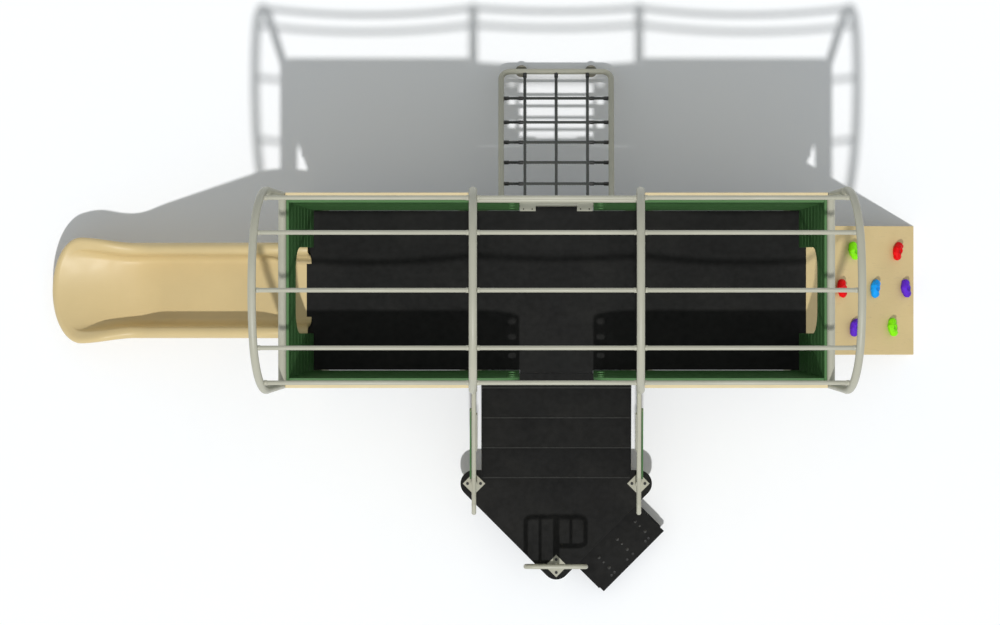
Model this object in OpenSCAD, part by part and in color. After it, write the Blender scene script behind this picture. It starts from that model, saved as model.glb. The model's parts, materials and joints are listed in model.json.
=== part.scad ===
// Covered-wagon play structure with a slide, a rope net, a climbing wall, stairs and a transfer platform.
// Millimetres. X runs along the wagon, Y across it, Z up from the ground.

/* [Wagon deck] */
// Height of the play deck above the ground
deck_z = 914; // [800:1:1000]
// Distance from the middle of the wagon to each end of the deck
deck_end_x = 1838; // [1700:1:1900]
// Thickness of the deck plates
deck_t = 5; // [4:0.5:8]
// Depth of the skirt around each deck module
deck_skirt = 60; // [45:1:75]
// Gap between neighbouring deck modules
deck_gap = 4; // [2:0.5:8]
// Distance that the deck stands out past the far opening
far_tongue = 28; // [15:1:35]

/* [Hoops] */
// Outside diameter of the hoop tube
hoop_d = 60; // [48:0.5:66]
// Wall of the hoop tube
hoop_wall = 3; // [2:0.5:5]
// Distance from the middle of the wagon to each middle hoop
mid_hoop_x = 613; // [560:1:660]
// Distance from the middle of the wagon to each end hoop at deck level
end_hoop_x = 1833; // [1815:1:1850]
// Outward lean of the end hoops in degrees
end_lean = 10.66; // [6:0.01:13]
// Radius of the roof part of a hoop
roof_r = 1330; // [1200:1:1500]
// Radius of a hoop's shoulders
shoulder_r = 520; // [450:1:560]
// Distance from the wagon's middle plane to the centre of each shoulder
shoulder_y = 208; // [190:1:230]
// Height of the shoulders' centres above the deck
shoulder_h = 1551.8; // [1450:0.1:1650]
// Inward slope of the hoop legs in degrees
leg_tilt = 3.394; // [2:0.001:4]
// Thickness of the plate that bolts a hoop leg to the deck frame
foot_t = 12; // [8:1:16]
// Width of that plate along the wagon
foot_w = 120; // [100:1:140]
// Size of the tabs that carry the outer panels
tab_w = 46; // [36:1:60]

/* [Canopy bars] */
// Outside diameter of a canopy bar
bar_d = 33; // [27:0.5:42]
// Wall of a canopy bar
bar_wall = 2.5; // [1.5:0.5:4]
// Distance from the middle plane to the upper bars
upper_bar_y = 421; // [380:1:460]
// Distance from the middle plane to the lower bars
lower_bar_y = 676; // [640:1:690]
// Sag of the bars between the middle hoops
mid_sag = 48; // [20:1:80]
// Sag of the bars between a middle hoop and an end hoop
end_sag = 97; // [40:1:120]

/* [Walls] */
// Thickness of the green wall panels
panel_t = 19; // [12:0.5:25]
// Height of the green panels above the deck
panel_h = 949; // [900:1:980]
// Gap between the deck and the end panels
panel_foot_gap = 8; // [3:1:15]
// How far the side panels reach below the deck's top
side_drop = 6; // [0:0.5:10]
// Number of planks that the grooves draw on a panel
plank_count = 8; // [5:1:10]
// Width of a plank groove
groove_w = 8; // [4:1:14]
// Depth of a plank groove
groove_t = 4; // [2:0.5:5]
// Thickness of the beige outer panels
outer_t = 25; // [18:1:30]
// Height of the outer panels above the deck
outer_h = 1000; // [960:1:1060]
// Distance that the outer panels reach below the deck
outer_drop = 140; // [80:1:180]
// Half the width of the near and far openings
open_half = 272; // [250:1:300]
// Radius of the sloping top edge beside an opening
crown_r = 680; // [600:1:800]
// Radius of the corner beside an opening
corner_r = 90; // [60:1:100]
// Width of a hand slot
slot_w = 56; // [40:1:64]
// Height of a hand slot
slot_h = 126; // [100:1:134]
// Distance from the middle of the opening to the hand slots, past the opening's edge
slot_in = 54; // [48:1:70]
// Half the width of the arched end openings
arch_half = 316; // [290:1:340]
// Height of the arched end openings above the deck
arch_h = 697; // [640:1:730]
// Corner radius of the arched end openings
arch_r = 170; // [120:1:220]
// Height of the end walls' top rails above the deck
end_rail_h = 946; // [920:1:960]
// Outside diameter of the header rail over the far opening
header_d = 42; // [33:0.5:48]
// Height of the header rail's ends above the deck
header_h = 1001; // [990:1:1030]
// Distance from the hoop legs' centre lines inward to the header rail
header_in = 33; // [28:0.5:38]

/* [Substructure] */
// Width of the deck frame's rectangular tubes
frame_w = 50; // [40:1:60]
// Height of the deck frame's rectangular tubes
frame_h = 80; // [60:1:100]
// Wall of the deck frame's tubes
frame_wall = 4; // [3:0.5:6]
// Diameter of the round posts
post_d = 89; // [76:1:102]
// Wall of the round posts
post_wall = 4; // [3:0.5:6]
// Side of the wagon's base plates
base_w = 200; // [180:1:240]
// Thickness of all base plates
base_t = 10; // [8:1:14]
// Spacing of the anchor holes in the wagon's base plates
anchor_pitch = 150; // [140:1:160]
// Radius of the anchor holes
anchor_r = 8; // [6:0.5:9]
// Side of the small base plates
small_base_w = 140; // [134:1:150]
// Spacing of the anchor holes in the small base plates
small_pitch = 108; // [104:1:112]

/* [Slide] */
// Distance from the wagon's middle to the tip of the slide
slide_tip_x = 3724; // [3500:1:3900]
// Height of the slide's exit above the ground
exit_z = 224; // [180:1:280]
// Half the outside width of the chute
chute_half = 352; // [330:1:380]
// Half the outside width of the chute at its exit
exit_half = 391; // [385:1:420]
// Height of the side walls on the slope
chute_wall_h = 208; // [150:1:220]
// Height of the side walls at the top of the slide
entry_wall_h = 150; // [120:1:180]
// Height of the side walls along the run-out
exit_wall_h = 140; // [90:1:150]
// Distance from the tip at which the side walls start to die away
wall_fade_from = 444; // [400:1:480]
// Distance from the tip at which the side walls are gone
wall_fade_to = 104; // [90:1:200]
// Rise of the exit's bed from its middle to its sides
exit_dish = 100; // [60:5:105]
// Thickness of the chute's shell
chute_t = 9; // [6:0.5:12]
// Length of the level part at the top
entry_flat = 62; // [40:1:120]
// Radius of the bend at the top of the slope
top_bend_r = 400; // [300:1:500]
// Radius of the bend at the foot of the slope
foot_bend_r = 500; // [400:1:600]
// Length of the run-out from the foot bend to the tip
run_out = 594; // [540:1:640]
// Slope of the run-out in degrees
run_out_a = 4; // [2:0.5:6]
// Length of the rounded end of the exit
exit_round = 220; // [180:1:240]
// Width of the rolled lip
lip_w = 90; // [80:1:100]
// Distance from the slide's tip to its exit leg
leg_back = 424; // [380:1:460]
// Diameter of the exit leg
leg_d = 60; // [48:1:76]

/* [Climbing wall] */
// Distance from the wagon's middle to the foot of the climbing wall
climb_foot_x = 2643; // [2500:1:2800]
// Width of the climbing wall
climb_w = 950; // [860:1:1040]
// Thickness of the climbing wall's panel
climb_t = 25; // [18:1:32]
// Size of the square tubes behind the wall
climb_tube = 50; // [40:1:60]
// Distance from the middle of the wall to its tubes
climb_tube_y = 330; // [300:1:360]
// Size factor of the climbing holds
hold_size = 1; // [0.85:0.01:1.15]

/* [Net] */
// Outside diameter of the net's frame tube
net_d = 42; // [38:0.5:48]
// Wall of the net's frame tube
net_wall = 3; // [2:0.5:4]
// Distance from the middle plane to the net's lower tube
net_foot_y = 1618; // [1500:1:1750]
// Height of the net's lower tube
net_foot_z = 85; // [75:1:110]
// Half the distance between the net's side tubes
net_half = 406; // [380:1:440]
// Corner radius of the net's frame
net_corner_r = 70; // [55:1:85]
// Diameter of the net's ropes
rope_d = 21; // [14:0.5:22]
// Distance between the ropes that run down the net
rope_pitch = 231; // [200:1:250]
// Distance of the net's feet from the middle
net_post_x = 257; // [230:1:280]

/* [Stairs] */
// Half the width of the stairs
stair_half = 552; // [500:1:560]
// Depth of each step from nosing to nosing
going = 222; // [205:1:240]
// Distance from the middle plane to the deck's nosing at the stairs
landing_y = 721; // [705:1:740]
// Thickness of the stair plates
tread_t = 6; // [4:0.5:8]
// Depth of the nosing
nosing_h = 32; // [24:1:40]
// Height of the side plates of the stairs
stringer_h = 190; // [160:1:220]
// Thickness of the side plates of the stairs
stringer_t = 6; // [5:0.5:10]

/* [Transfer platform] */
// Height of the transfer platform
platform_z = 300; // [270:1:340]
// Distance from the middle to the platform's side posts
side_post_x = 607; // [590:1:640]
// Distance from the middle plane to the platform's side posts
side_post_y = 1426; // [1400:1:1480]
// Distance from the middle plane to the platform's front post
front_post_y = 2035; // [1960:1:2100]
// Radius of the platform's corners
platform_r = 100; // [95:1:120]
// Height of the transfer step
step_z = 150; // [130:1:170]
// Length of the transfer step
step_w = 630; // [560:1:680]
// Distance from the line of posts to the step's outer edge
step_reach = 382; // [340:1:420]

/* [Hand rails] */
// Outside diameter of the hand rails
rail_d = 33; // [28:0.5:36]
// Wall of the hand rails
rail_wall = 2.5; // [2:0.5:4]
// Diameter of the rails' posts
rail_post_d = 48; // [42:0.5:60]
// Height of the hand rail above the step nosings
rail_over = 620; // [560:1:640]
// Height of the stair rails' level part
level_rail_z = 1085; // [1060:0.5:1130]
// Height of the lower run of the stair rails' forward loops
loop_low_z = 660; // [600:1:700]
// Height of the front loop's top
front_top_z = 991.5; // [940:0.5:1040]
// Distance between the upper and lower sloping rails
rail_apart = 300; // [260:1:340]
// Distance that the forward loops reach past their post
loop_reach = 209.5; // [190:0.5:230]
// Bend radius of the loops
loop_r = 60; // [45:1:70]
// Distance from the front post to the front loop's left side
front_left_x = 225; // [200:1:250]
// Distance from the front post to the front loop's right side
front_right_x = 217; // [190:1:250]
// Height of the front loop's lower run on the right
front_right_z = 583; // [540:1:640]
// Height of the front loop's lower run on the left
front_low_z = 345; // [338:1:380]
// Distance from the front post to the front loop's left upright bar
front_bar_left = 119; // [100:1:140]
// Distance from the front post to the front loop's right upright bar
front_bar_right = 108; // [90:1:130]
// Diameter of the front loop's upright bars
front_bar_d = 23; // [19:0.5:28]
// Thickness of the green panels beside the stairs
rail_panel_t = 13; // [10:0.5:20]
// Side of the flange plates under the rail posts
flange_w = 117; // [110:1:126]
// Thickness of the flange plates
flange_t = 8; // [6:1:12]
// Distance from a post's centre to the flange bolts
flange_bolt_at = 48; // [46:1:54]

/* [Hidden] */
$fn = 48;

seat = 0.3;
joint = 2;
cut = 1;

tube_c = [0.70, 0.69, 0.62];
beige_c = [0.84, 0.75, 0.55];
climb_c = [0.80, 0.71, 0.54];
green_c = [0.16, 0.33, 0.13];
black_c = [0.14, 0.14, 0.13];
rope_c = [0.24, 0.24, 0.22];
bolt_c = [0.20, 0.20, 0.20];

hoop_r = hoop_d / 2;
bar_r = bar_d / 2;
rail_r = rail_d / 2;
net_r = net_d / 2;
rope_r = rope_d / 2;
post_r = post_d / 2;
header_r = header_d / 2;

// A hoop is welded from a roof bend, two shoulder bends that run on from it and two straight legs.
roof_a = asin(shoulder_y / (roof_r - shoulder_r));
roof_h = shoulder_h - (roof_r - shoulder_r) * cos(roof_a);
leg_y0 = shoulder_y + shoulder_r / cos(leg_tilt) - shoulder_h * tan(leg_tilt);
// The end hoops lean, so their shoulders lie further up their own plane and their legs tilt a little less.
end_shoulder_h = shoulder_h / cos(end_lean);
end_tilt = atan(tan(leg_tilt) * cos(end_lean));
end_shoulder_y = leg_y0 - shoulder_r / cos(end_tilt) + end_shoulder_h * tan(end_tilt);

function leg_y(h) = leg_y0 + h * tan(leg_tilt);
function arch_h_at(y) = y <= roof_r * sin(roof_a)
    ? roof_h + sqrt(pow(roof_r, 2) - pow(y, 2))
    : shoulder_h + sqrt(pow(shoulder_r, 2) - pow(y - shoulder_y, 2));
function arch_angle_at(y) = y <= roof_r * sin(roof_a)
    ? atan2(arch_h_at(y) - roof_h, y)
    : atan2(arch_h_at(y) - shoulder_h, y - shoulder_y);
function end_arch_s(y) = arch_h_at(y) - shoulder_h + end_shoulder_h;
function end_x_at(h) = end_hoop_x + h * tan(end_lean);

deck_half = leg_y0 - hoop_r - seat - panel_t - 1.5;
near_tongue = panel_t + 4;
frame_out = deck_half - 6;
frame_top = deck_z - deck_skirt;
frame_low = frame_top - frame_h;
post_y = frame_out - frame_w / 2;
post_x = [-deck_end_x + frame_w + 8, -mid_hoop_x, mid_hoop_x, deck_end_x - frame_w - 8];
rise = (deck_z - platform_z) / 4;
stair_a = atan2(rise, going);

// The transfer step's outer corner and the net's lower tube give the far and near ends of the whole part.
post_line_a = atan2(front_post_y - side_post_y, side_post_x);
step_mid_x = side_post_x / 2 + step_reach * sin(post_line_a);
step_mid_y = (side_post_y + front_post_y) / 2 + step_reach * cos(post_line_a);
near_end = step_mid_y + step_w / 2 * sin(post_line_a);
far_end = max(net_foot_y + net_r, net_foot_y + 3 + post_r);
origin_y = (far_end - near_end) / 2;

module placed() {
    translate([-origin_x, -origin_y, 0]) children();
}

module quarter(side_x, side_y) {
    mirror([side_x > 0 ? 0 : 1, 0, 0]) mirror([0, side_y > 0 ? 0 : 1, 0]) children();
}

// Flat drawings are laid into upright planes: first axis along Y or X, second axis up.
module in_yz() {
    rotate([90, 0, 90]) children();
}

module in_xz() {
    rotate([90, 0, 0]) children();
}

// The frame of a side wall starts at a leg's centre line at deck level, with its Z along the leg.
module on_wall() {
    translate([0, leg_y0, deck_z]) rotate([-leg_tilt, 0, 0]) children();
}

// The frame of an end hoop starts at deck level, with its Z up the leaning plane.
module on_end(side_x) {
    mirror([side_x > 0 ? 0 : 1, 0, 0]) translate([end_hoop_x, 0, deck_z]) rotate([0, end_lean, 0]) children();
}

module rod(from, to, r) {
    d = to - from;
    translate([from[0], from[1], 0])
        rotate([0, 0, atan2(d[1], d[0])])
            rotate([0, 90, 0]) cylinder(h = norm(d), r = r);
}

module bend(centre, radius, a0, a1, r) {
    translate([centre[0], centre[1], 0])
        rotate([0, 0, a0])
            rotate_extrude(angle = a1 - a0, $fn = radius > 300 ? 360 : 96)
                translate([radius, 0]) circle(r = r);
}

function corner_cut(a, b, c) = tan((180 - corner_angle(a, b, c)) / 2);
function corner_angle(a, b, c) = acos(max(-1, min(1, (a - b) * (c - b) / norm(a - b) / norm(c - b))));
function toward(b, a, d) = b + (a - b) * d / norm(a - b);

// A tube through corner points, each inner corner bent to a radius. A welded one has rings at its bends.
module bent_tube(points, radius, r, welded = false) {
    last = len(points) - 1;
    root = welded ? weld_root : 0;
    cuts = [for (i = [0:last]) i == 0 || i == last ? 0
        : radius * corner_cut(points[i - 1], points[i], points[i + 1])];
    function back(i) = i == 0 || i == last ? 0 : cuts[i] + root;
    for (i = [0:last - 1])
        rod(toward(points[i], points[i + 1], back(i)), toward(points[i + 1], points[i], back(i + 1)), r);
    for (i = [1:1:last - 1]) {
        corner_bend(points[i - 1], points[i], points[i + 1], radius, cuts[i], r, root);
        if (welded) for (end = [points[i - 1], points[i + 1]])
            weld_ring(toward(points[i], end, cuts[i]), direction(end - points[i]), r);
    }
}

function direction(d) = atan2(d[1], d[0]);

module corner_bend(a, b, c, radius, back, r, root) {
    p = toward(b, a, back);
    turn = (b[0] - a[0]) * (c[1] - b[1]) - (b[1] - a[1]) * (c[0] - b[0]) > 0 ? 1 : -1;
    d = (b - a) / norm(b - a);
    centre = p + radius * turn * [-d[1], d[0]];
    a0 = direction(p - centre);
    sweep = 180 - corner_angle(a, b, c);
    trim = root / radius * 180 / PI;
    bend(centre, radius, (turn > 0 ? a0 : a0 - sweep) + trim, (turn > 0 ? a0 + sweep : a0) - trim, r);
}

module arch(sh_y, sh_h, tilt, drop, r) {
    low = [sh_y + shoulder_r / cos(tilt) - (sh_h + drop) * tan(tilt), -drop];
    foot = [sh_y + shoulder_r * cos(tilt), sh_h - shoulder_r * sin(tilt)];
    half_a = asin(sh_y / (roof_r - shoulder_r));
    top_h = sh_h - (roof_r - shoulder_r) * cos(half_a);
    roof_end = [roof_r * sin(half_a), top_h + roof_r * cos(half_a)];
    roof_cut = weld_root * 180 / PI / roof_r;
    shoulder_cut = weld_root * 180 / PI / shoulder_r;
    in_yz() {
        bend([0, top_h], roof_r, 90 - half_a + roof_cut, 90 + half_a - roof_cut, r);
        for (m = [0, 1]) mirror([m, 0, 0]) {
            bend([sh_y, sh_h], shoulder_r, shoulder_cut - tilt, 90 - half_a - shoulder_cut, r);
            rod(low, toward(foot, low, weld_root), r);
            weld_ring(roof_end, -half_a, r);
            weld_ring(foot, tilt - 90, r);
        }
    }
}

// The tube's sections end inside a low ring of weld.
weld_root = 2;
weld_w = 12;
weld_h = 1;

module weld_ring(p, a, r) {
    d = [cos(a), sin(a)] * weld_w / 2;
    rod(p - d, p + d, r + weld_h);
}

leg_drop = deck_skirt + frame_h - 14;

module arch_tube(sh_y, sh_h, tilt, drop) {
    difference() {
        arch(sh_y, sh_h, tilt, drop, hoop_r);
        arch(sh_y, sh_h, tilt, drop + cut, hoop_r - hoop_wall);
    }
}

// The foot of a hoop leg: a plate against the deck frame and a block welded between plate and tube.
module leg_foot(x) {
    reach = leg_y(-leg_drop / 2) - hoop_r + hoop_wall - 0.5;
    for (m = [0, 1]) mirror([0, m, 0]) translate([x, 0, 0]) {
        translate([-foot_w / 2, frame_out + seat, frame_low]) cube([foot_w, foot_t, frame_h - 1]);
        translate([-18, frame_out + foot_t / 2, frame_low + 8])
            cube([36, reach - frame_out - foot_t / 2, frame_h - 24]);
    }
}

tab_heights = [160, 500, 840];
tab_t = 4;
outer_in = 5;

// Tabs welded to a leg's side carry the outer panel's inner face.
module leg_tabs(x, dir, lean) {
    for (m = [0, 1]) mirror([0, m, 0]) on_wall()
        for (h = tab_heights) {
            x_at = x + h * cos(leg_tilt) * tan(lean);
            translate([dir > 0 ? x_at + hoop_r - hoop_wall + 1 : x_at - hoop_r + hoop_wall - 1 - tab_w,
                -outer_in - seat - tab_t, h - tab_w / 2])
                cube([tab_w, tab_t, tab_w]);
        }
}

module hoop_mid(side_x) {
    color(tube_c) placed() mirror([side_x > 0 ? 0 : 1, 0, 0]) {
        translate([mid_hoop_x, 0, deck_z]) arch_tube(shoulder_y, shoulder_h, leg_tilt, leg_drop);
        leg_foot(mid_hoop_x);
        leg_tabs(mid_hoop_x, 1, 0);
    }
}

module hoop_end(side_x) {
    drop = leg_drop / cos(end_lean);
    color(tube_c) placed() {
        on_end(side_x) arch_tube(end_shoulder_y, end_shoulder_h, end_tilt, drop);
        mirror([side_x > 0 ? 0 : 1, 0, 0]) {
            leg_foot(end_x_at(-leg_drop / 2));
            leg_tabs(end_hoop_x, -1, end_lean);
        }
    }
}

// Straight stand-ins for the hoops cut the ends of the bars and rails that butt against them.
module cope(y, h, a) {
    in_yz() translate([y, h, 0]) rotate([0, 0, a + 90]) rotate([0, 90, 0]) rotate([0, 0, 25])
        cylinder(h = 160, r = hoop_r + 2 * seat, center = true);
}

module mid_cope(y, h, a) {
    translate([mid_hoop_x, 0, deck_z]) cope(y, h, a);
}

module end_cope(y, s, a) {
    translate([end_hoop_x, 0, deck_z]) rotate([0, end_lean, 0]) cope(y, s, a);
}

// An arc from p to q that hangs below its chord by the sag, in the plane of X and Z. It can be cut shorter.
module sagging_tube(p, q, sag, r, short = 0) {
    chord = norm(q - p);
    radius = chord * chord / 8 / sag + sag / 2;
    up = [p[1] - q[1], q[0] - p[0]] / chord;
    centre = (p + q) / 2 + up * (radius - sag);
    trim = short / radius * 180 / PI;
    a0 = atan2(p[1] - centre[1], p[0] - centre[0]) + trim;
    a1 = atan2(q[1] - centre[1], q[0] - centre[0]) - trim;
    in_xz() translate([centre[0], centre[1], 0]) rotate([0, 0, a0])
        rotate_extrude(angle = a1 - a0, $fn = 360) translate([radius, 0]) circle(r = r);
}

// One bay of a bar. The ridge bar's ends are cut square, and the others are shaped to the hoops.
module canopy_bay(y, p, q, sag) {
    square_cut = y == 0 ? hoop_r + seat : 0;
    difference() {
        translate([0, y, 0]) sagging_tube(p, q, sag, bar_r, square_cut);
        translate([0, y, 0]) sagging_tube(p, q, sag, bar_r - bar_wall, square_cut - cut);
        if (y > 0) children();
    }
}

module canopy_line(y) {
    out = abs(y);
    h = arch_h_at(out);
    s = end_arch_s(out);
    p = [mid_hoop_x, deck_z + h];
    q = [end_hoop_x + s * sin(end_lean), deck_z + s * cos(end_lean)];
    a = arch_angle_at(out);
    mirror([0, y < 0 ? 1 : 0, 0]) {
        canopy_bay(out, [-p[0], p[1]], p, mid_sag)
            for (m = [0, 1]) mirror([m, 0, 0]) mid_cope(out, h, a);
        for (m = [0, 1]) mirror([m, 0, 0]) canopy_bay(out, p, q, end_sag) {
            mid_cope(out, h, a);
            end_cope(out, s, a);
        }
    }
}

module canopy_ridge_bar() {
    color(tube_c) placed() canopy_line(0);
}

module canopy_upper_bars() {
    color(tube_c) placed() for (s = [-1, 1]) canopy_line(s * upper_bar_y);
}

module canopy_lower_bars() {
    color(tube_c) placed() for (s = [-1, 1]) canopy_line(s * lower_bar_y);
}

module end_rails() {
    s = end_rail_h / cos(end_lean);
    y = leg_y(end_rail_h);
    color(tube_c) placed() for (side_x = [-1, 1]) on_end(side_x) difference() {
        in_yz() rod([-y, s], [y, s], hoop_r);
        in_yz() rod([-y - cut, s], [y + cut, s], hoop_r - hoop_wall);
        for (m = [0, 1]) mirror([0, m, 0]) in_yz() translate([y, s, 0]) rotate([0, 0, -end_tilt])
            rotate([90, 0, 0]) cylinder(h = 200, r = hoop_r + seat, center = true);
    }
}

// The header rail sags like the canopy bars and is welded to the inner sides of the middle hoops' legs.
module far_header_rail() {
    p = [mid_hoop_x, deck_z + header_h];
    color(tube_c) placed() translate([0, leg_y(header_h), 0]) difference() {
        translate([0, -header_in, 0]) sagging_tube([-p[0], p[1]], p, mid_sag, header_r);
        translate([0, -header_in, 0]) sagging_tube([-p[0], p[1]], p, mid_sag, header_r - bar_wall, bar_wall);
        for (m = [0, 1]) mirror([m, 0, 0]) translate([p[0], 0, p[1]]) rotate([-leg_tilt, 0, 0])
            cylinder(h = 200, r = hoop_r + seat, center = true);
    }
}

// Plank grooves, level cuts in both faces of a wall panel that lies between y0 and y1.
module grooves(x0, x1, y0, y1, z0, z1) {
    pitch = (z1 - z0) / plank_count;
    for (i = [1:plank_count - 1]) {
        for (y = [y0 - cut, y1 - groove_t]) translate([x0 - cut, y, z0 + i * pitch - groove_w / 2])
            cube([x1 - x0 + 2 * cut, groove_t + cut, groove_w]);
    }
}

wall_out = -hoop_r - seat;
wall_in = wall_out - panel_t;
panel_z0 = -side_drop;
panel_top = panel_h / cos(leg_tilt);

// The end edge of a side panel stands against the inner face of the leaning end panel.
function side_end(z) = end_hoop_x + z * cos(leg_tilt) * tan(end_lean)
    - (hoop_r + 2 * seat + panel_t) / cos(end_lean);

module side_panel(side_x, side_y) {
    color(green_c) placed() quarter(side_x, side_y) on_wall() difference() {
        translate([0, wall_in, 0]) rotate([90, 0, 0]) mirror([0, 0, 1]) linear_extrude(panel_t)
            polygon([[mid_hoop_x + joint / 2, panel_z0], [side_end(panel_z0), panel_z0],
                [side_end(panel_top), panel_top], [mid_hoop_x + joint / 2, panel_top]]);
        grooves(mid_hoop_x, side_end(panel_top), wall_in, wall_out, panel_z0, panel_top);
    }
}

outer_z0 = -outer_drop;
function outer_end(z) = end_hoop_x + z * cos(leg_tilt) * tan(end_lean) - (hoop_r + joint) / cos(end_lean);

module outer_panel(side_x, side_y) {
    top = outer_h / cos(leg_tilt);
    x0 = mid_hoop_x + hoop_r + joint;
    color(beige_c) placed() quarter(side_x, side_y) on_wall() difference() {
        translate([0, -outer_in, 0]) rotate([90, 0, 0]) mirror([0, 0, 1]) linear_extrude(outer_t)
            polygon([[x0, outer_z0], [outer_end(outer_z0), outer_z0], [outer_end(top), top], [x0, top]]);
        grooves(x0, outer_end(top), -outer_in - groove_t - 2 * cut, outer_t - outer_in, outer_z0, top);
    }
}

crown_x = mid_hoop_x - 38;
round_z = panel_top - crown_r + sqrt(pow(crown_r - corner_r, 2) - pow(crown_x - open_half - corner_r, 2));
slot_levels = [250, 545, 790];

// The outline beside an opening: a crowned top edge that runs into a rounded corner.
module entry_outline() {
    x1 = mid_hoop_x - joint / 2;
    rx = open_half + corner_r;
    u = [rx - crown_x, round_z - (panel_top - crown_r)] / (crown_r - corner_r);
    translate([crown_x, panel_z0]) square([x1 - crown_x, panel_top - panel_z0]);
    translate([open_half, panel_z0]) square([crown_x - open_half, round_z - panel_z0]);
    translate([rx, round_z]) circle(r = corner_r);
    intersection() {
        translate([crown_x, panel_top - crown_r]) circle(r = crown_r, $fn = 200);
        polygon([[rx, round_z - cut], [crown_x, round_z - cut], [crown_x, panel_top + cut],
            [rx, panel_top + cut], [rx, round_z] + 2 * corner_r * u, [rx, round_z]]);
    }
}

module slot_outline(level) {
    straight = slot_h - slot_w;
    translate([open_half + slot_in, level]) {
        square([slot_w, straight], center = true);
        for (s = [-1, 1]) translate([0, s * straight / 2]) circle(r = slot_w / 2);
    }
}

module entry_panel(side_x, side_y) {
    color(green_c) placed() quarter(side_x, side_y) on_wall() difference() {
        translate([0, wall_in, 0]) rotate([90, 0, 0]) mirror([0, 0, 1]) linear_extrude(panel_t) difference() {
            entry_outline();
            for (level = slot_levels) slot_outline(level);
        }
        grooves(open_half, mid_hoop_x, wall_in, wall_out, panel_z0, panel_top);
    }
}

module end_panel(side_x) {
    low = panel_foot_gap;
    top = panel_h / cos(end_lean);
    function half_at(s) = leg_y0 + s * tan(end_tilt) - outer_in - tab_t - joint;
    color(green_c) placed() on_end(side_x) difference() {
        translate([wall_in, 0, 0]) in_yz() linear_extrude(panel_t) difference() {
            polygon([[-half_at(low), low], [half_at(low), low], [half_at(top), top], [-half_at(top), top]]);
            translate([-arch_half, 0]) square([2 * arch_half, arch_h - arch_r]);
            translate([-arch_half + arch_r, 0]) square([2 * (arch_half - arch_r), arch_h]);
            for (s = [-1, 1]) translate([s * (arch_half - arch_r), arch_h - arch_r]) circle(r = arch_r);
        }
        rotate([0, 0, 90]) grooves(-half_at(top), half_at(top), -wall_out, -wall_in, low, top);
    }
}

// A deck module: a plate with a skirt all round.
module deck_pan(x0, x1, y0, y1) {
    translate([x0, y0, deck_z - deck_skirt]) difference() {
        cube([x1 - x0, y1 - y0, deck_skirt]);
        translate([deck_t, deck_t, -cut])
            cube([x1 - x0 - 2 * deck_t, y1 - y0 - 2 * deck_t, deck_skirt - deck_t + cut]);
    }
}

module deck_left() {
    color(black_c) placed() deck_pan(-deck_end_x, -mid_hoop_x - deck_gap / 2, -deck_half, deck_half);
}

module deck_right() {
    color(black_c) placed() deck_pan(mid_hoop_x + deck_gap / 2, deck_end_x, -deck_half, deck_half);
}

module deck_centre() {
    x = mid_hoop_x - deck_gap / 2;
    tongue = open_half - 4;
    color(black_c) placed() {
        deck_pan(-x, x, -deck_half, deck_half);
        translate([-tongue, deck_half - cut, deck_z - deck_skirt])
            cube([2 * tongue, far_tongue + cut, deck_skirt]);
        translate([-tongue, -deck_half - near_tongue, deck_z - deck_skirt])
            cube([2 * tongue, near_tongue + cut, deck_skirt]);
    }
}

module box_tube(size, along) {
    w = frame_wall;
    inner = [for (i = [0:2]) i == along ? size[i] + 2 * cut : size[i] - 2 * w];
    from = [for (i = [0:2]) i == along ? -cut : w];
    difference() {
        cube(size);
        translate(from) cube(inner);
    }
}

module deck_frame() {
    long = 2 * deck_end_x - 4;
    between = 2 * (frame_out - frame_w);
    z = frame_low;
    color(tube_c) placed() {
        for (s = [-1, 1]) translate([-long / 2, s > 0 ? frame_out - frame_w : -frame_out, z])
            box_tube([long, frame_w, frame_h - seat], 0);
        for (x = post_x) translate([x - frame_w / 2, -between / 2 - cut / 2, z])
            box_tube([frame_w, between + cut, frame_h - seat], 1);
    }
}

// A round post on a square base plate with four anchor holes, from the ground up to top.
module post(top, d, wall, w, pitch, cap) {
    difference() {
        union() {
            translate([-w / 2, -w / 2, 0]) cube([w, w, base_t]);
            translate([0, 0, base_t - cut]) difference() {
                cylinder(h = top - base_t + cut, r = d / 2);
                translate([0, 0, 2 * cut]) cylinder(h = top - base_t - 8, r = d / 2 - wall);
            }
            if (cap > 0) translate([-cap / 2, -cap / 2, top - 8]) cube([cap, cap, 8]);
        }
        for (x = [-1, 1]) for (y = [-1, 1]) translate([x * pitch / 2, y * pitch / 2, -cut])
            cylinder(h = base_t + 2 * cut, r = anchor_r);
    }
}

module wagon_posts() {
    color(tube_c) placed() for (x = post_x) for (s = [-1, 1]) translate([x, s * post_y, 0])
        post(frame_low - seat, post_d, post_wall, base_w, anchor_pitch, post_d + 20);
}

// The slide's centre line in the plane of outward distance and height: level, bend, slope, bend, run-out.
entry_end = deck_end_x + entry_flat;
foot_end = slide_tip_x - run_out;
foot_end_z = exit_z + run_out * tan(run_out_a);
top_c = [entry_end, deck_z - top_bend_r];
foot_c = [foot_end + foot_bend_r * sin(run_out_a), foot_end_z + foot_bend_r * cos(run_out_a)];
between_c = foot_c - top_c;
slope_a = asin((top_bend_r + foot_bend_r) / norm(between_c)) - atan2(between_c[1], between_c[0]);
slope_p = top_c + top_bend_r * [sin(slope_a), cos(slope_a)];
slope_q = foot_c - foot_bend_r * [sin(slope_a), cos(slope_a)];
pivot_back = exit_round / cos(run_out_a);
pivot_p = [slide_tip_x - exit_round, exit_z + exit_round * tan(run_out_a)];

// Each station is its place on the centre line, the centre line's slope and the wall's height there.
top_steps = 7;
slope_steps = 5;
foot_steps = 6;
out_steps = 8;
fan_steps = 14;
function smooth(t) = t <= 0 ? 0 : t >= 1 ? 1 : t * t * (3 - 2 * t);
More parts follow.
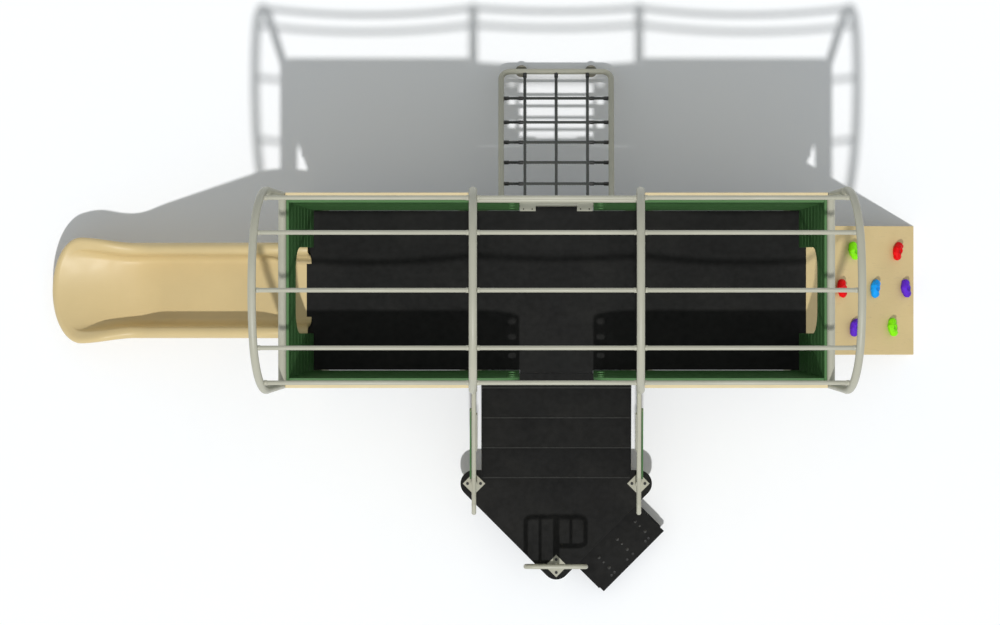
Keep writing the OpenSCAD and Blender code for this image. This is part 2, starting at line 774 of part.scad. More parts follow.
// The side walls fall to the run-out's height over this stretch of the foot bend.
wall_step = [foot_end - 380, foot_end + 170];
function part_way(x, a, b) = smooth((x - a) / (b - a));
function wall_left(x) = 1 - part_way(x, slide_tip_x - wall_fade_from, slide_tip_x - wall_fade_to);
function chute_h_at(x) = x < slope_p[0]
    ? entry_wall_h + (chute_wall_h - entry_wall_h) * part_way(x, deck_end_x, slope_p[0])
    : (chute_wall_h - (chute_wall_h - exit_wall_h) * part_way(x, wall_step[0], wall_step[1])) * wall_left(x);
function chute_w_at(x) = chute_half + (exit_half - chute_half) * part_way(x, foot_end - 30, pivot_p[0]);
function dish_at(x) = exit_dish * part_way(x, foot_end - 280, pivot_p[0]);
stations = concat(
    [[[deck_end_x - 60, deck_z], 0], [[deck_end_x - 20, deck_z], 0]],
    [for (i = [0:top_steps]) let (a = slope_a * i / top_steps) [top_c + top_bend_r * [sin(a), cos(a)], a]],
    [for (i = [1:slope_steps]) [slope_p + (slope_q - slope_p) * i / slope_steps, slope_a]],
    [for (i = [1:foot_steps]) let (a = slope_a + (run_out_a - slope_a) * i / foot_steps)
        [foot_c - foot_bend_r * [sin(a), cos(a)], a]],
    let (foot = [foot_end, foot_end_z])
        [for (i = [1:out_steps]) [foot + (pivot_p - foot) * i / out_steps, run_out_a]]
);
straight_n = len(stations);

// Half of the chute's section: inward distance from the rim, rise as a share of the wall, drop of the roll.
section = [
    [157, 0, 0], [143, 0.012, 0], [128, 0.06, 0], [114, 0.16, 0], [103, 0.32, 0], [97, 0.52, 0],
    [93, 0.70, 0], [86, 0.85, 0], [75, 0.94, 0], [60, 0.985, 0], [45, 1, 0], [28, 1, 4], [12, 1, 17],
    [2, 1, 36], [0, 1, 58], [0, 1, 78]
];
section_lip_w = 90;
flat_steps = 3;
section_n = flat_steps + len(section);

function section_point(i, reach, h) = i < flat_steps
    ? [(reach - section[0][0] * lip_w / section_lip_w) * (i + 1) / (flat_steps + 1), 0]
    : let (q = section[i - flat_steps]) [reach - q[0] * lip_w / section_lip_w, h * q[1] - q[2]];
function section_normal(i, reach, h) =
    let (
        p = i == 0 ? [0, 0] : section_point(i - 1, reach, h),
        q = section_point(min(i + 1, section_n - 1), reach, h),
        d = (q - p) / norm(q - p)
    ) [-d[1], d[0]];
function section_under(i, reach, h) = section_point(i, reach, h) - chute_t * section_normal(i, reach, h);

// Half sections stand along the far side, fan out around the exit's pivot and come back along the near side.
function fan_reach(a) = pivot_back * exit_half
    / norm([exit_half * sin(a), pivot_back * cos(a)]);
function fan_h(a) = chute_h_at(pivot_p[0] + fan_reach(a) * sin(a));
function side_row(k, turn) = let (x = stations[k][0][0]) [stations[k], turn, chute_w_at(x), chute_h_at(x)];
function fan_row(a) = [stations[straight_n - 1], a, fan_reach(a), fan_h(a)];
function chute_row(s) = s < straight_n
    ? side_row(s, 0)
    : s < straight_n + fan_steps - 1
        ? fan_row(180 * (s - straight_n + 1) / fan_steps)
        : side_row(2 * straight_n + fan_steps - 2 - s, 180);
row_n = 2 * straight_n + fan_steps - 1;
function spine_of(s) = min(s, straight_n - 1, row_n - 1 - s);
function chute_xyz(st, a, p) =
    let (
        out = st[1],
        along = p[0] * sin(a),
        y = p[0] * cos(a),
        up = p[1] + dish_at(st[0][0]) * pow(y / exit_half, 2)
    ) [-(st[0][0] + along * cos(out) + up * sin(out)), y, st[0][1] - along * sin(out) + up * cos(out)];

spine_top = [for (s = [0:straight_n - 1]) chute_xyz(stations[s], 0, [0, 0])];
spine_low = [for (s = [0:straight_n - 1]) chute_xyz(stations[s], 0, [0, -chute_t])];
grid_top = [for (s = [0:row_n - 1]) let (r = chute_row(s)) for (i = [0:section_n - 1])
    chute_xyz(r[0], r[1], section_point(i, r[2], r[3]))];
grid_low = [for (s = [0:row_n - 1]) let (r = chute_row(s)) for (i = [0:section_n - 1])
    chute_xyz(r[0], r[1], section_under(i, r[2], r[3]))];
slide_reach = max([for (p = grid_top) -p[0]]);
origin_x = (climb_foot_x - slide_reach) / 2;
low_spine0 = straight_n;
top0 = 2 * straight_n;
low0 = top0 + row_n * section_n;
function top_id(s, i) = i < 0 ? spine_of(s) : top0 + s * section_n + i;
function low_id(s, i) = i < 0 ? low_spine0 + spine_of(s) : low0 + s * section_n + i;
function strip(a, b, c, d) = a == b ? [[a, c, d]] : [[a, b, c], [a, c, d]];
chute_faces = concat(
    [for (s = [0:row_n - 2]) for (i = [-1:section_n - 2])
        each strip(top_id(s, i), top_id(s + 1, i), top_id(s + 1, i + 1), top_id(s, i + 1))],
    [for (s = [0:row_n - 2]) for (i = [-1:section_n - 2])
        let (under = strip(low_id(s, i), low_id(s + 1, i), low_id(s + 1, i + 1), low_id(s, i + 1)))
        each [for (f = under) [f[2], f[1], f[0]]]],
    [for (s = [0:row_n - 2]) let (e = section_n - 1)
        each strip(top_id(s, e), top_id(s + 1, e), low_id(s + 1, e), low_id(s, e))],
    [for (s = [0, row_n - 1]) for (i = [-1:section_n - 2])
        each [for (f = strip(top_id(s, i), top_id(s, i + 1), low_id(s, i + 1), low_id(s, i)))
            s == 0 ? f : [f[2], f[1], f[0]]]]
);

module slide_chute() {
    color(beige_c) placed() difference() {
        polyhedron(concat(spine_top, spine_low, grid_top, grid_low), chute_faces, convexity = 8);
        translate([-deck_end_x - seat, -exit_half, deck_z - 200])
            cube([200, 2 * exit_half, 200 + seat]);
        on_end(-1) translate([-500 + wall_out + 2 * seat, -exit_half, -200])
            cube([500, 2 * exit_half, 900]);
    }
}

module slide_exit_leg() {
    x = slide_tip_x - leg_back;
    z = exit_z + leg_back * tan(run_out_a);
    cradle_t = 8;
    top = z - (chute_t + cradle_t + seat) / cos(run_out_a);
    color(tube_c) placed() translate([-x, 0, 0]) {
        post(top, leg_d, rail_wall, small_base_w, small_pitch, 0);
        translate([0, 0, z]) rotate([0, -run_out_a, 0]) translate([-70, -150, -chute_t - cradle_t - seat])
            cube([140, 300, cradle_t]);
    }
}

climb_a = atan2(deck_z, climb_foot_x - deck_end_x - seat);
climb_top_x = deck_end_x + seat;

// Runs along the wall's face from its top edge, with Z out of the face.
module on_climb() {
    translate([climb_top_x, 0, deck_z]) rotate([0, climb_a, 0]) children();
}

module climb_slab(depth0, depth1, y0, y1) {
    u0 = depth0 / cos(climb_a);
    u1 = depth1 / cos(climb_a);
    v0 = depth0 / sin(climb_a);
    v1 = depth1 / sin(climb_a);
    translate([0, y1, 0]) in_xz() linear_extrude(y1 - y0) polygon([[climb_top_x, deck_z - u0],
        [climb_foot_x - v0, 0], [climb_foot_x - v1, 0], [climb_top_x, deck_z - u1]]);
}

// Distance down the wall, distance across it, turn and colour of each hold.
lime_c = [0.55, 0.94, 0.04];
red_c = [0.90, 0.0, 0.04];
blue_c = [0.08, 0.63, 0.96];
purple_c = [0.40, 0.16, 0.78];
holds = [
    [515, 290, 20, lime_c], [1014, 290, -15, red_c],
    [382, 13, 10, red_c], [759, 13, -10, blue_c], [1107, 13, 15, purple_c],
    [528, -274, -20, purple_c], [957, -274, 12, lime_c]
];
hold_bolt_r = 6;
hold_bowl_r = 13;
hold_seat_h = 38;
hold_bolt_head_r = 9.5;
hold_bolt_head_h = 9;
hold_balls = [[-38, -4, 20, 27], [2, 10, 26, 31], [40, -6, 18, 28], [0, -16, 16, 24]];

module climb_wall_panel() {
    color(climb_c) placed() difference() {
        climb_slab(0, climb_t, -climb_w / 2, climb_w / 2);
        for (h = holds) on_climb() translate([h[0], h[1], -climb_t - cut])
            cylinder(h = climb_t + 2 * cut, r = hold_bolt_r + seat);
    }
}

module climb_wall_frame() {
    d0 = climb_t + seat;
    d1 = d0 + climb_tube;
    plate_x = climb_foot_x - d1 / sin(climb_a) - 90;
    color(tube_c) placed() {
        for (s = [-1, 1]) {
            y = s * climb_tube_y;
            climb_slab(d0, d1, y - climb_tube / 2, y + climb_tube / 2);
            translate([plate_x, y - climb_tube, 0]) difference() {
                cube([130, 2 * climb_tube, base_t]);
                for (m = [0, 1]) translate([38, climb_tube + (2 * m - 1) * 26, -cut])
                    cylinder(h = base_t + 2 * cut, r = anchor_r);
            }
        }
        for (u = [300, 900]) on_climb() translate([u, -climb_tube_y, -d1])
            cube([climb_tube, 2 * climb_tube_y, climb_tube]);
    }
}

// A bean-shaped grip: one hull around four balls, flat on the wall, with a bolt hole and a bowl around it.
module climb_hold(i) {
    h = holds[i];
    k = hold_size;
    color(h[3]) placed() on_climb() translate([h[0], h[1], seat]) rotate([0, 0, 90 + h[2]]) difference() {
        hull() for (b = hold_balls) translate(k * [b[0], b[1], b[2]]) sphere(r = k * b[3], $fn = 20);
        translate([-150, -150, -100]) cube([300, 300, 100]);
        translate([0, 0, -cut]) cylinder(h = 100, r = hold_bolt_r + seat);
        translate([0, 0, hold_seat_h * k]) cylinder(h = 100, r = hold_bowl_r);
    }
}

module hold_bolts() {
    top = hold_seat_h * hold_size + 2 * seat;
    color(bolt_c) placed() for (h = holds) on_climb() translate([h[0], h[1], 0]) {
        translate([0, 0, -climb_t - seat]) cylinder(h = climb_t + seat + top + 1, r = hold_bolt_r);
        translate([0, 0, top]) difference() {
            cylinder(h = hold_bolt_head_h, r = hold_bolt_head_r);
            translate([0, 0, 4]) cylinder(h = hold_bolt_head_h, r = 5, $fn = 6);
        }
    }
}

net_top_y = deck_half + far_tongue + net_r + seat;
net_top_z = deck_z - net_r;
net_a = atan2(net_top_z - net_foot_z, net_foot_y - net_top_y);
net_len = norm([net_top_z - net_foot_z, net_foot_y - net_top_y]);
rope_rows = [0.153, 0.313, 0.465, 0.616, 0.797];

// The net's plane: X across, Y down the slope from the middle of the upper tube.
module on_net() {
    translate([0, net_top_y, net_top_z]) rotate([-net_a, 0, 0]) children();
}

module net_loop(r) {
    a = net_half;
    bent_tube([[0, 0], [a, 0], [a, net_len], [-a, net_len], [-a, 0], [0, 0]], net_corner_r, r);
}

module net_frame() {
    color(tube_c) placed() on_net() difference() {
        net_loop(net_r);
        net_loop(net_r - net_wall);
    }
}

module rope_net() {
    end = net_r + seat;
    color(rope_c) placed() on_net() {
        for (i = [-1:1]) rod([i * rope_pitch, end], [i * rope_pitch, net_len - end], rope_r);
        for (t = rope_rows) rod([-net_half + end, t * net_len], [net_half - end, t * net_len], rope_r);
    }
}

ferrule_l = 34;
ferrule_back = net_r - rope_r - 3;

module ferrule() {
    translate([0, 0, net_r + seat]) difference() {
        cylinder(h = ferrule_l, r = rope_r + 4);
        translate([0, 0, -cut]) cylinder(h = ferrule_l + 2 * cut, r = rope_r + seat);
    }
}

module rope_ferrules() {
    color(bolt_c) placed() on_net() {
        for (i = [-1:1]) {
            translate([i * rope_pitch, 0, 0]) rotate([-90, 0, 0]) ferrule();
            translate([i * rope_pitch, net_len, 0]) rotate([90, 0, 0]) ferrule();
        }
        for (t = rope_rows) for (s = [-1, 1]) {
            translate([s * net_half, t * net_len, 0]) rotate([0, -90 * s, 0]) ferrule();
            translate([s * (rope_pitch - ferrule_back), t * net_len, 0]) rotate([0, 90 * s, 0]) ferrule();
        }
    }
}

module net_feet() {
    color(tube_c) placed() for (s = [-1, 1]) translate([s * net_post_x, net_foot_y + 3, 0])
        cylinder(h = net_foot_z - net_r - seat, r = post_r);
}

bracket_w = 116;
bracket_t = 8;
bracket_hole_r = 5;

module climber_brackets() {
    x = open_half - 62;
    y0 = deck_half - 3;
    color(tube_c) placed() for (s = [-1, 1]) translate([s * x, 0, deck_z + seat]) difference() {
        translate([-bracket_w / 2, y0, 0]) cube([bracket_w, net_top_y + net_r - y0, bracket_t]);
        for (m = [-1, 1]) translate([m * 32, y0 + 16, -cut])
            cylinder(h = bracket_t + 2 * cut, r = bracket_hole_r);
    }
}

module stair_landing() {
    y1 = deck_half + near_tongue + seat;
    at_corner = [-stair_half, y1, deck_z - deck_skirt];
    color(black_c) placed() mirror([0, 1, 0]) translate(at_corner) difference() {
        cube([2 * stair_half, landing_y - y1, deck_skirt]);
        translate([deck_t, deck_t, -cut])
            cube([2 * (stair_half - deck_t), landing_y - y1 - 2 * deck_t, deck_skirt - deck_t + cut]);
    }
}

// One folded step: riser at the back, plate, and a nosing turned down at the front.
module folded_step(k) {
    back = landing_y + going * (k - 1);
    front = back + going;
    top = deck_z - rise * k;
    r1 = back - tread_t - seat;
    r0 = r1 - tread_t;
    x = stair_half - stringer_t - seat;
    riser_top = deck_z - rise * (k - 1) - (k == 1 ? deck_t : tread_t) - seat;
    outline = [[r0, top - tread_t], [front - tread_t, top - tread_t], [front - tread_t, top - nosing_h],
        [front, top - nosing_h], [front, top], [r1, top], [r1, riser_top], [r0, riser_top]];
    mirror([0, 1, 0]) translate([-x, 0, 0]) in_yz() linear_extrude(2 * x) polygon(outline);
}

module stair_treads() {
    back = landing_y + going * 3;
    r1 = back - tread_t - seat;
    x = stair_half - stringer_t - seat;
    color(black_c) placed() {
        for (k = [1:3]) folded_step(k);
        mirror([0, 1, 0]) translate([-x, r1 - tread_t, platform_z + seat])
            cube([2 * x, tread_t, rise - tread_t - 2 * seat]);
    }
}

// Side plates run under the nosings from the landing down to the platform.
module stair_stringers() {
    y0 = landing_y - deck_t - 40;
    y1 = landing_y + going * 3;
    z0 = deck_z - deck_skirt - seat;
    low = platform_z + seat;
    back = landing_y - 30;
    inset = 2;
    outline = [[back, z0], [landing_y + going - inset, deck_z - rise - inset],
        [landing_y + 3 * going - inset, deck_z - 3 * rise - inset],
        [y1 - inset, low], [y1 - inset - 160, low], [back, z0 - stringer_h + 40]];
    color(black_c) placed() mirror([0, 1, 0]) for (s = [-1, 1])
        translate([s > 0 ? stair_half - stringer_t : -stair_half, 0, 0]) in_yz() linear_extrude(stringer_t)
            polygon(outline);
}

// A rounded triangle around the three post centres, grown by r.
module platform_outline(r) {
    a = [side_post_x, side_post_y];
    b = [0, front_post_y];
    n = [sin(post_line_a), cos(post_line_a)];
    m = [-n[0], n[1]];
    c = [-a[0], a[1]];
    polygon([a + [0, -r], a + r * n, b + r * n, b + r * m, c + r * m, c + [0, -r]]);
    for (p = [a, b, c]) translate(p) circle(r = r);
}

module transfer_deck() {
    color(black_c) placed() mirror([0, 1, 0]) difference() {
        translate([0, 0, platform_z - deck_skirt]) linear_extrude(deck_skirt) platform_outline(platform_r);
        translate([0, 0, platform_z - deck_skirt - cut]) linear_extrude(deck_skirt - deck_t + cut)
            platform_outline(platform_r - deck_t);
    }
}

module at_rail_posts() {
    for (p = [[-side_post_x, side_post_y], [side_post_x, side_post_y], [0, front_post_y]])
        translate([p[0], -p[1], 0]) children();
}

module transfer_posts() {
    color(tube_c) placed() at_rail_posts()
        post(platform_z - deck_t - seat, post_d, post_wall, small_base_w, small_pitch, 0);
}

// The transfer step stands square to the line between the right and the front post.
module on_step() {
    translate([side_post_x / 2, -(side_post_y + front_post_y) / 2, 0])
        rotate([0, 0, -90 + post_line_a]) children();
}

step_skirt = 46;

module transfer_step() {
    n0 = platform_r - 22;
    l = step_reach - n0;
    color(black_c) placed() on_step() translate([n0, -step_w / 2, step_z - step_skirt]) difference() {
        cube([l, step_w, step_skirt]);
        translate([deck_t, deck_t, -cut])
            cube([l - 2 * deck_t, step_w - 2 * deck_t, step_skirt - deck_t + cut]);
    }
}

// A bracket at each end of the step, under the platform's edge at the back and on the ground at the front.
module step_brackets() {
    top = platform_z - deck_skirt - seat;
    t = 8;
    n0 = platform_r - 70;
    n1 = platform_r - 1;
    n2 = step_reach - 40;
    outline = [[n0, top], [n1, top], [n1, step_z - 12], [n2 - 15, step_z - 12], [n2, step_z - 40],
        [n2, 0], [n2 - 80, 0], [n2 - 100, 60], [n0, 60]];
    color(black_c) placed() on_step() for (y = [step_w / 2 + seat + t, -step_w / 2 - seat])
        translate([0, y, 0]) in_xz() linear_extrude(t) polygon(outline);
}

// Rails beside the stairs, drawn in the plane of outward distance and height.
function rail_z(u) = deck_z + rail_over - (u - landing_y) * tan(stair_a);
post_cope = 5;
knee_u = landing_y + (deck_z + rail_over - level_rail_z) / tan(stair_a);
rail_start = leg_y(rail_z(landing_y) - deck_z);
low_start = leg_y(rail_z(landing_y) - rail_apart - deck_z);

module rail_run(r, over) {
    upper = [rail_start, rail_z(rail_start)];
    front_u = side_post_y + loop_reach;
    lower = [low_start, rail_z(low_start) - rail_apart];
    lower_end = [side_post_y, rail_z(side_post_y) - rail_apart];
    bent_tube([upper, [knee_u, level_rail_z], [front_u, level_rail_z], [front_u, loop_low_z],
        [side_post_y, loop_low_z]], loop_r, r, true);
    rod(lower, lower_end, r);
    rail_post(side_post_y, level_rail_z, over);
}

// The post under a rail at height z, or the room inside it.
module rail_post(u, z, over) {
    if (!over) rod([u, platform_z + flange_t + seat - cut / 2], [u, z - post_cope], rail_post_d / 2);
    if (over) rod([u, platform_z - cut], [u, z - rail_r - rail_wall], rail_post_d / 2 - rail_wall);
}

flange_hole_r = 6.5;

module flange() {
    translate([0, 0, platform_z + seat]) difference() {
        rotate([0, 0, 45]) translate([-flange_w / 2, -flange_w / 2, 0]) cube([flange_w, flange_w, flange_t]);
        for (a = [0:90:270]) rotate([0, 0, a]) translate([flange_bolt_at, 0, -cut])
            cylinder(h = flange_t + 2 * cut, r = flange_hole_r);
    }
}

saddle_t = 8;
saddle_h = 50;

// The rails meet a middle hoop's leg at two levels, each on a saddle welded to the leg's outer face.
module leg_sleeve(z, r, tall) {
    translate([mid_hoop_x, leg_y(z - deck_z), z]) rotate([-leg_tilt, 0, 0])
        cylinder(h = tall, r = r, center = true);
}

module saddle_levels(r, tall) {
    leg_sleeve(rail_z(rail_start), r, tall);
    leg_sleeve(rail_z(low_start) - rail_apart, r, tall);
}

module stair_rail(side_x) {
    color(tube_c) placed() quarter(side_x, -1) {
        difference() {
            translate([side_post_x, 0, 0]) in_yz() rail_run(rail_r, false);
            translate([side_post_x, 0, 0]) in_yz() rail_run(rail_r - rail_wall, true);
            saddle_levels(hoop_r + saddle_t + 2 * seat, 4 * saddle_h);
        }
        translate([side_post_x, side_post_y, 0]) flange();
    }
}

module rail_saddles() {
    panel_out = outer_t - outer_in + joint;
    color(tube_c) placed() for (s = [-1, 1]) quarter(s, -1) difference() {
        saddle_levels(hoop_r + saddle_t + seat, saddle_h);
        saddle_levels(hoop_r + seat, 2 * saddle_h);
        on_wall() translate([mid_hoop_x - 100, panel_out - 200, 0]) cube([200, 200, panel_top]);
    }
}

panel_u0 = landing_y + 145;
panel_u1 = side_post_y - 36;

module stair_panel(side_x) {
    c = 24;
    fall = c * tan(stair_a);
    dz = (panel_u1 - panel_u0) * tan(stair_a);
    high = rail_z(panel_u0);
    low = high - rail_apart - 3 * rail_r;
    x = side_post_x + rail_r + weld_h + seat;
    color(green_c) placed() quarter(side_x, -1) translate([x, 0, 0]) in_yz() linear_extrude(rail_panel_t)
        polygon([[panel_u0, low + c], [panel_u0 + c, low - fall],
            [panel_u1 - c, low - dz + fall], [panel_u1, low - dz + c],
            [panel_u1, high - dz - c], [panel_u1 - c, high - dz + fall],
            [panel_u0 + c, high - fall], [panel_u0, high - c]]);
}

// A short second rail for small children, carried by two bushes on the stair panel's inner face.
module toddler_rails() {
    x = side_post_x - 10;
    down = rail_apart / 2;
    u = [panel_u0 + 40, panel_u0 + 309];
    a = [u[0], rail_z(u[0]) - down];
    b = [u[1], rail_z(u[1]) - down];
    color(tube_c) placed() for (s = [-1, 1]) quarter(s, -1) {
        translate([x, 0, 0]) in_yz() rod(a, b, rail_r);
        for (p = [toward(a, b, 50), toward(b, a, 50)]) translate([x, p[0], p[1]]) rotate([0, 90, 0])
            cylinder(h = 10 + rail_r + weld_h, r = 11);
    }
}

module front_run(r, over) {
    bent_tube([[0, front_low_z], [-front_left_x, front_low_z], [-front_left_x, front_top_z],
        [front_right_x, front_top_z], [front_right_x, front_right_z], [0, front_right_z]], loop_r, r);
    rail_post(0, front_top_z, over);
}

module front_loop() {
    color(tube_c) placed() translate([0, -front_post_y, 0]) {
        difference() {
            in_xz() front_run(rail_r, false);
            in_xz() front_run(rail_r - rail_wall, true);
        }
        in_xz() difference() {
            union() {
                rod([-front_bar_left, front_low_z], [-front_bar_left, front_top_z], front_bar_d / 2);
                rod([front_bar_right, front_right_z], [front_bar_right, front_top_z], front_bar_d / 2);
            }
            front_run(rail_r - rail_wall, true);
        }
        flange();
    }
}

module flange_bolts() {
    color(bolt_c) placed() at_rail_posts() translate([0, 0, platform_z + flange_t + 2 * seat])
        for (a = [0:90:270]) rotate([0, 0, a]) translate([flange_bolt_at, 0, 0]) {
            cylinder(h = 7, r = 9, $fn = 6);
            translate([0, 0, -flange_t - seat]) cylinder(h = flange_t + seat + 1, r = 6);
        }
}

hoop_mid(-1);  // hoop_mid_left
hoop_mid(1);  // hoop_mid_right
hoop_end(-1);  // hoop_end_left
hoop_end(1);  // hoop_end_right
end_rails();
far_header_rail();
canopy_ridge_bar();
canopy_upper_bars();
canopy_lower_bars();
end_panel(-1);  // end_panel_left
end_panel(1);  // end_panel_right
side_panel(-1, -1);  // side_panel_near_left
side_panel(1, -1);  // side_panel_near_right
side_panel(-1, 1);  // side_panel_far_left
side_panel(1, 1);  // side_panel_far_right
outer_panel(-1, -1);  // outer_panel_near_left
outer_panel(1, -1);  // outer_panel_near_right
outer_panel(-1, 1);  // outer_panel_far_left
outer_panel(1, 1);  // outer_panel_far_right
entry_panel(-1, -1);  // entry_panel_near_left
entry_panel(1, -1);  // entry_panel_near_right
entry_panel(-1, 1);  // entry_panel_far_left
entry_panel(1, 1);  // entry_panel_far_right
deck_left();
deck_centre();
deck_right();
deck_frame();
wagon_posts();
slide_chute();
slide_exit_leg();
climb_wall_panel();
climb_wall_frame();
climb_hold(0);  // climb_hold_1
climb_hold(1);  // climb_hold_2
climb_hold(2);  // climb_hold_3
climb_hold(3);  // climb_hold_4
climb_hold(4);  // climb_hold_5
climb_hold(5);  // climb_hold_6
climb_hold(6);  // climb_hold_7
hold_bolts();
net_frame();
rope_net();
rope_ferrules();
net_feet();
climber_brackets();
stair_landing();
stair_treads();
stair_stringers();
transfer_deck();
transfer_posts();
transfer_step();
step_brackets();
stair_rail(-1);  // stair_rail_left
stair_rail(1);  // stair_rail_right
stair_panel(-1);  // stair_panel_left
stair_panel(1);  // stair_panel_right
toddler_rails();
rail_saddles();
front_loop();
flange_bolts();
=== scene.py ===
"""The covered-wagon play structure's looks: camera, materials, meshes for what shows most, light."""
import json
import math

import bmesh
import bpy
import numpy as np
from mathutils import Matrix, Vector, noise


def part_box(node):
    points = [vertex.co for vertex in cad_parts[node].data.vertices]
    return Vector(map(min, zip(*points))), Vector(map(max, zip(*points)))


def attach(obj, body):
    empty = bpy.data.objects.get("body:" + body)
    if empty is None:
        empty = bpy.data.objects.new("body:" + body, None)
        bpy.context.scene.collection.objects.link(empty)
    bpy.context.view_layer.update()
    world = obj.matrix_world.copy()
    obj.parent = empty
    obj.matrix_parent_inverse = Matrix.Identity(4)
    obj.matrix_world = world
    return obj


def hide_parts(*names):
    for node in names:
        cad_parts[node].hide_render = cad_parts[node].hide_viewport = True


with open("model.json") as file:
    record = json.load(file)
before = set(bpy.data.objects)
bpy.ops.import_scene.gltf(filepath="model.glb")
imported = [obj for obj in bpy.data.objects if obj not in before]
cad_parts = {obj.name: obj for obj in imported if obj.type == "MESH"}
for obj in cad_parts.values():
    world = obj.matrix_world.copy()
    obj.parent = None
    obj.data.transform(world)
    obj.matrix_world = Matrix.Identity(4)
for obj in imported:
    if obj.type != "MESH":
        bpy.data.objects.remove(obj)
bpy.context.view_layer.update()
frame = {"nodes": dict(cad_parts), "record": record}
NODES = frame["nodes"]

# The wagon's middle on the ground. Sizes below are in millimetres from there, as in the part's source.
_left, _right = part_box("hoop_mid_left"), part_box("hoop_mid_right")
MIDDLE = Vector(((_left[0].x + _right[1].x) / 2, (_left[0].y + _left[1].y) / 2, 0))

SEAT = 0.3  # between parts that rest on each other
DECK_Z, DECK_END, DECK_GAP, FAR_TONGUE = 914.0, 1838.0, 1.5, 28
PANEL_T = 19
HOOP_R, MID_HOOP_X, END_HOOP_X = 30.0, 613.0, 1833.0
SHOULDER_Y, SHOULDER_R, SHOULDER_H = 208, 520, 1551.8
END_LEAN = math.radians(10.66)
LEG_TILT = math.radians(3.394)
LEG_Y0 = SHOULDER_Y + SHOULDER_R / math.cos(LEG_TILT) - SHOULDER_H * math.tan(LEG_TILT)
UP = Vector((0, 0, 1))


def at(x, y, z):
    """A point of the wagon in millimetres, in the scene's metres."""
    return MIDDLE + Vector((x, y, z)) / 1000


# Camera: straight down through a very long lens, which sees VIEW_W metres across at the height VIEW_Z

LENS, SENSOR_W = 1050, 36
VIEW_X, VIEW_Y, VIEW_Z, VIEW_W = 0.1235, 0.1159, 1.2, 7.353
camera = bpy.data.objects.new("camera", bpy.data.cameras.new("camera"))
bpy.context.scene.collection.objects.link(camera)
bpy.context.scene.camera = camera
camera.data.lens = LENS
camera.data.sensor_width = SENSOR_W
camera.location = (VIEW_X, VIEW_Y, VIEW_Z + VIEW_W / 2 * LENS / (SENSOR_W / 2))
camera.data.clip_start, camera.data.clip_end = 10, 400


# Materials

def srgb(r, g, b):
    """A colour given as it looks on screen, 0 to 255, as linear values."""
    def linear(c):
        return c / 255 / 12.92 if c <= 10 else ((c / 255 + 0.055) / 1.055) ** 2.4

    return linear(r), linear(g), linear(b), 1.0


def scaled(colour, k):
    return tuple(min(1.0, c * k) for c in colour[:3]) + (1.0,)


class Finish:
    """A material whose nodes read the object's own coordinates, in metres."""

    def __init__(self, name, roughness, metallic, specular):
        self.material = bpy.data.materials.new(name)
        self.material.use_nodes = True
        self.tree = self.material.node_tree
        self.shader = self.tree.nodes["Principled BSDF"]
        self.shader.inputs["Roughness"].default_value = roughness
        self.shader.inputs["Metallic"].default_value = metallic
        self.shader.inputs["Specular IOR Level"].default_value = specular
        self.coords = self.node("ShaderNodeTexCoord").outputs["Object"]
        self.normal = None

    def node(self, kind, **inputs):
        made = self.tree.nodes.new(kind)
        for key, value in inputs.items():
            self.put(made.inputs[key.replace("_", " ")], value)
        return made

    def put(self, socket, value):
        if isinstance(value, bpy.types.NodeSocket):
            self.tree.links.new(value, socket)
        else:
            socket.default_value = value

    def stretched(self, sx, sy, sz):
        """The coordinates scaled along each axis, for grain that runs one way."""
        made = self.node("ShaderNodeMapping", Vector=self.coords)
        made.inputs["Scale"].default_value = (sx, sy, sz)
        return made.outputs["Vector"]

    def noise(self, scale, detail, rough=0.5, distortion=0.0, coords=None):
        return self.node("ShaderNodeTexNoise", Vector=coords or self.coords, Scale=scale, Detail=detail,
                         Roughness=rough, Distortion=distortion).outputs["Fac"]

    def cells(self, scale):
        return self.node("ShaderNodeTexVoronoi", Vector=self.coords, Scale=scale).outputs["Distance"]

    def spread(self, value, low, high, to_low=0.0, to_high=1.0):
        return self.node("ShaderNodeMapRange", Value=value, From_Min=low, From_Max=high, To_Min=to_low,
                         To_Max=to_high).outputs["Result"]

    def times(self, a, b):
        made = self.tree.nodes.new("ShaderNodeMath")
        made.operation = "MULTIPLY"
        self.put(made.inputs[0], a)
        self.put(made.inputs[1], b)
        return made.outputs[0]

    def mix(self, factor, a, b):
        made = self.tree.nodes.new("ShaderNodeMix")
        made.data_type = "RGBA"
        self.put(made.inputs["Factor"], factor)
        self.put(made.inputs["A"], a)
        self.put(made.inputs["B"], b)
        return made.outputs["Result"]

    def mottled(self, base, low, high, scale, detail, rough=0.5):
        """The base colour, darker and lighter in patches."""
        patches = self.spread(self.noise(scale, detail, rough), 0.3, 0.7)
        return self.mix(patches, scaled(base, low), scaled(base, high))

    def over(self, tone, colour, mask, amount):
        """A share of another colour laid over the tone where the mask is 1."""
        return self.mix(self.times(mask, amount), tone, colour)

    def upward(self, low, high):
        """1 on faces that look up, 0 on those that look down or sideways."""
        geometry = self.node("ShaderNodeNewGeometry")
        parts = self.node("ShaderNodeSeparateXYZ", Vector=geometry.outputs["Normal"])
        return self.spread(parts.outputs["Z"], low, high)

    def bump(self, height, strength, distance):
        made = self.node("ShaderNodeBump", Height=height, Strength=strength, Distance=distance)
        if self.normal:
            self.put(made.inputs["Normal"], self.normal)
        self.normal = made.outputs["Normal"]

    def colour(self, value):
        self.put(self.shader.inputs["Base Color"], value)

    def roughness(self, low, high, scale, detail, patches_to=0.7):
        """Duller and glossier patches."""
        patches = self.spread(self.noise(scale, detail), 0.3, patches_to, low, high)
        self.put(self.shader.inputs["Roughness"], patches)

    def done(self):
        if self.normal:
            self.put(self.shader.inputs["Normal"], self.normal)
        return self.material


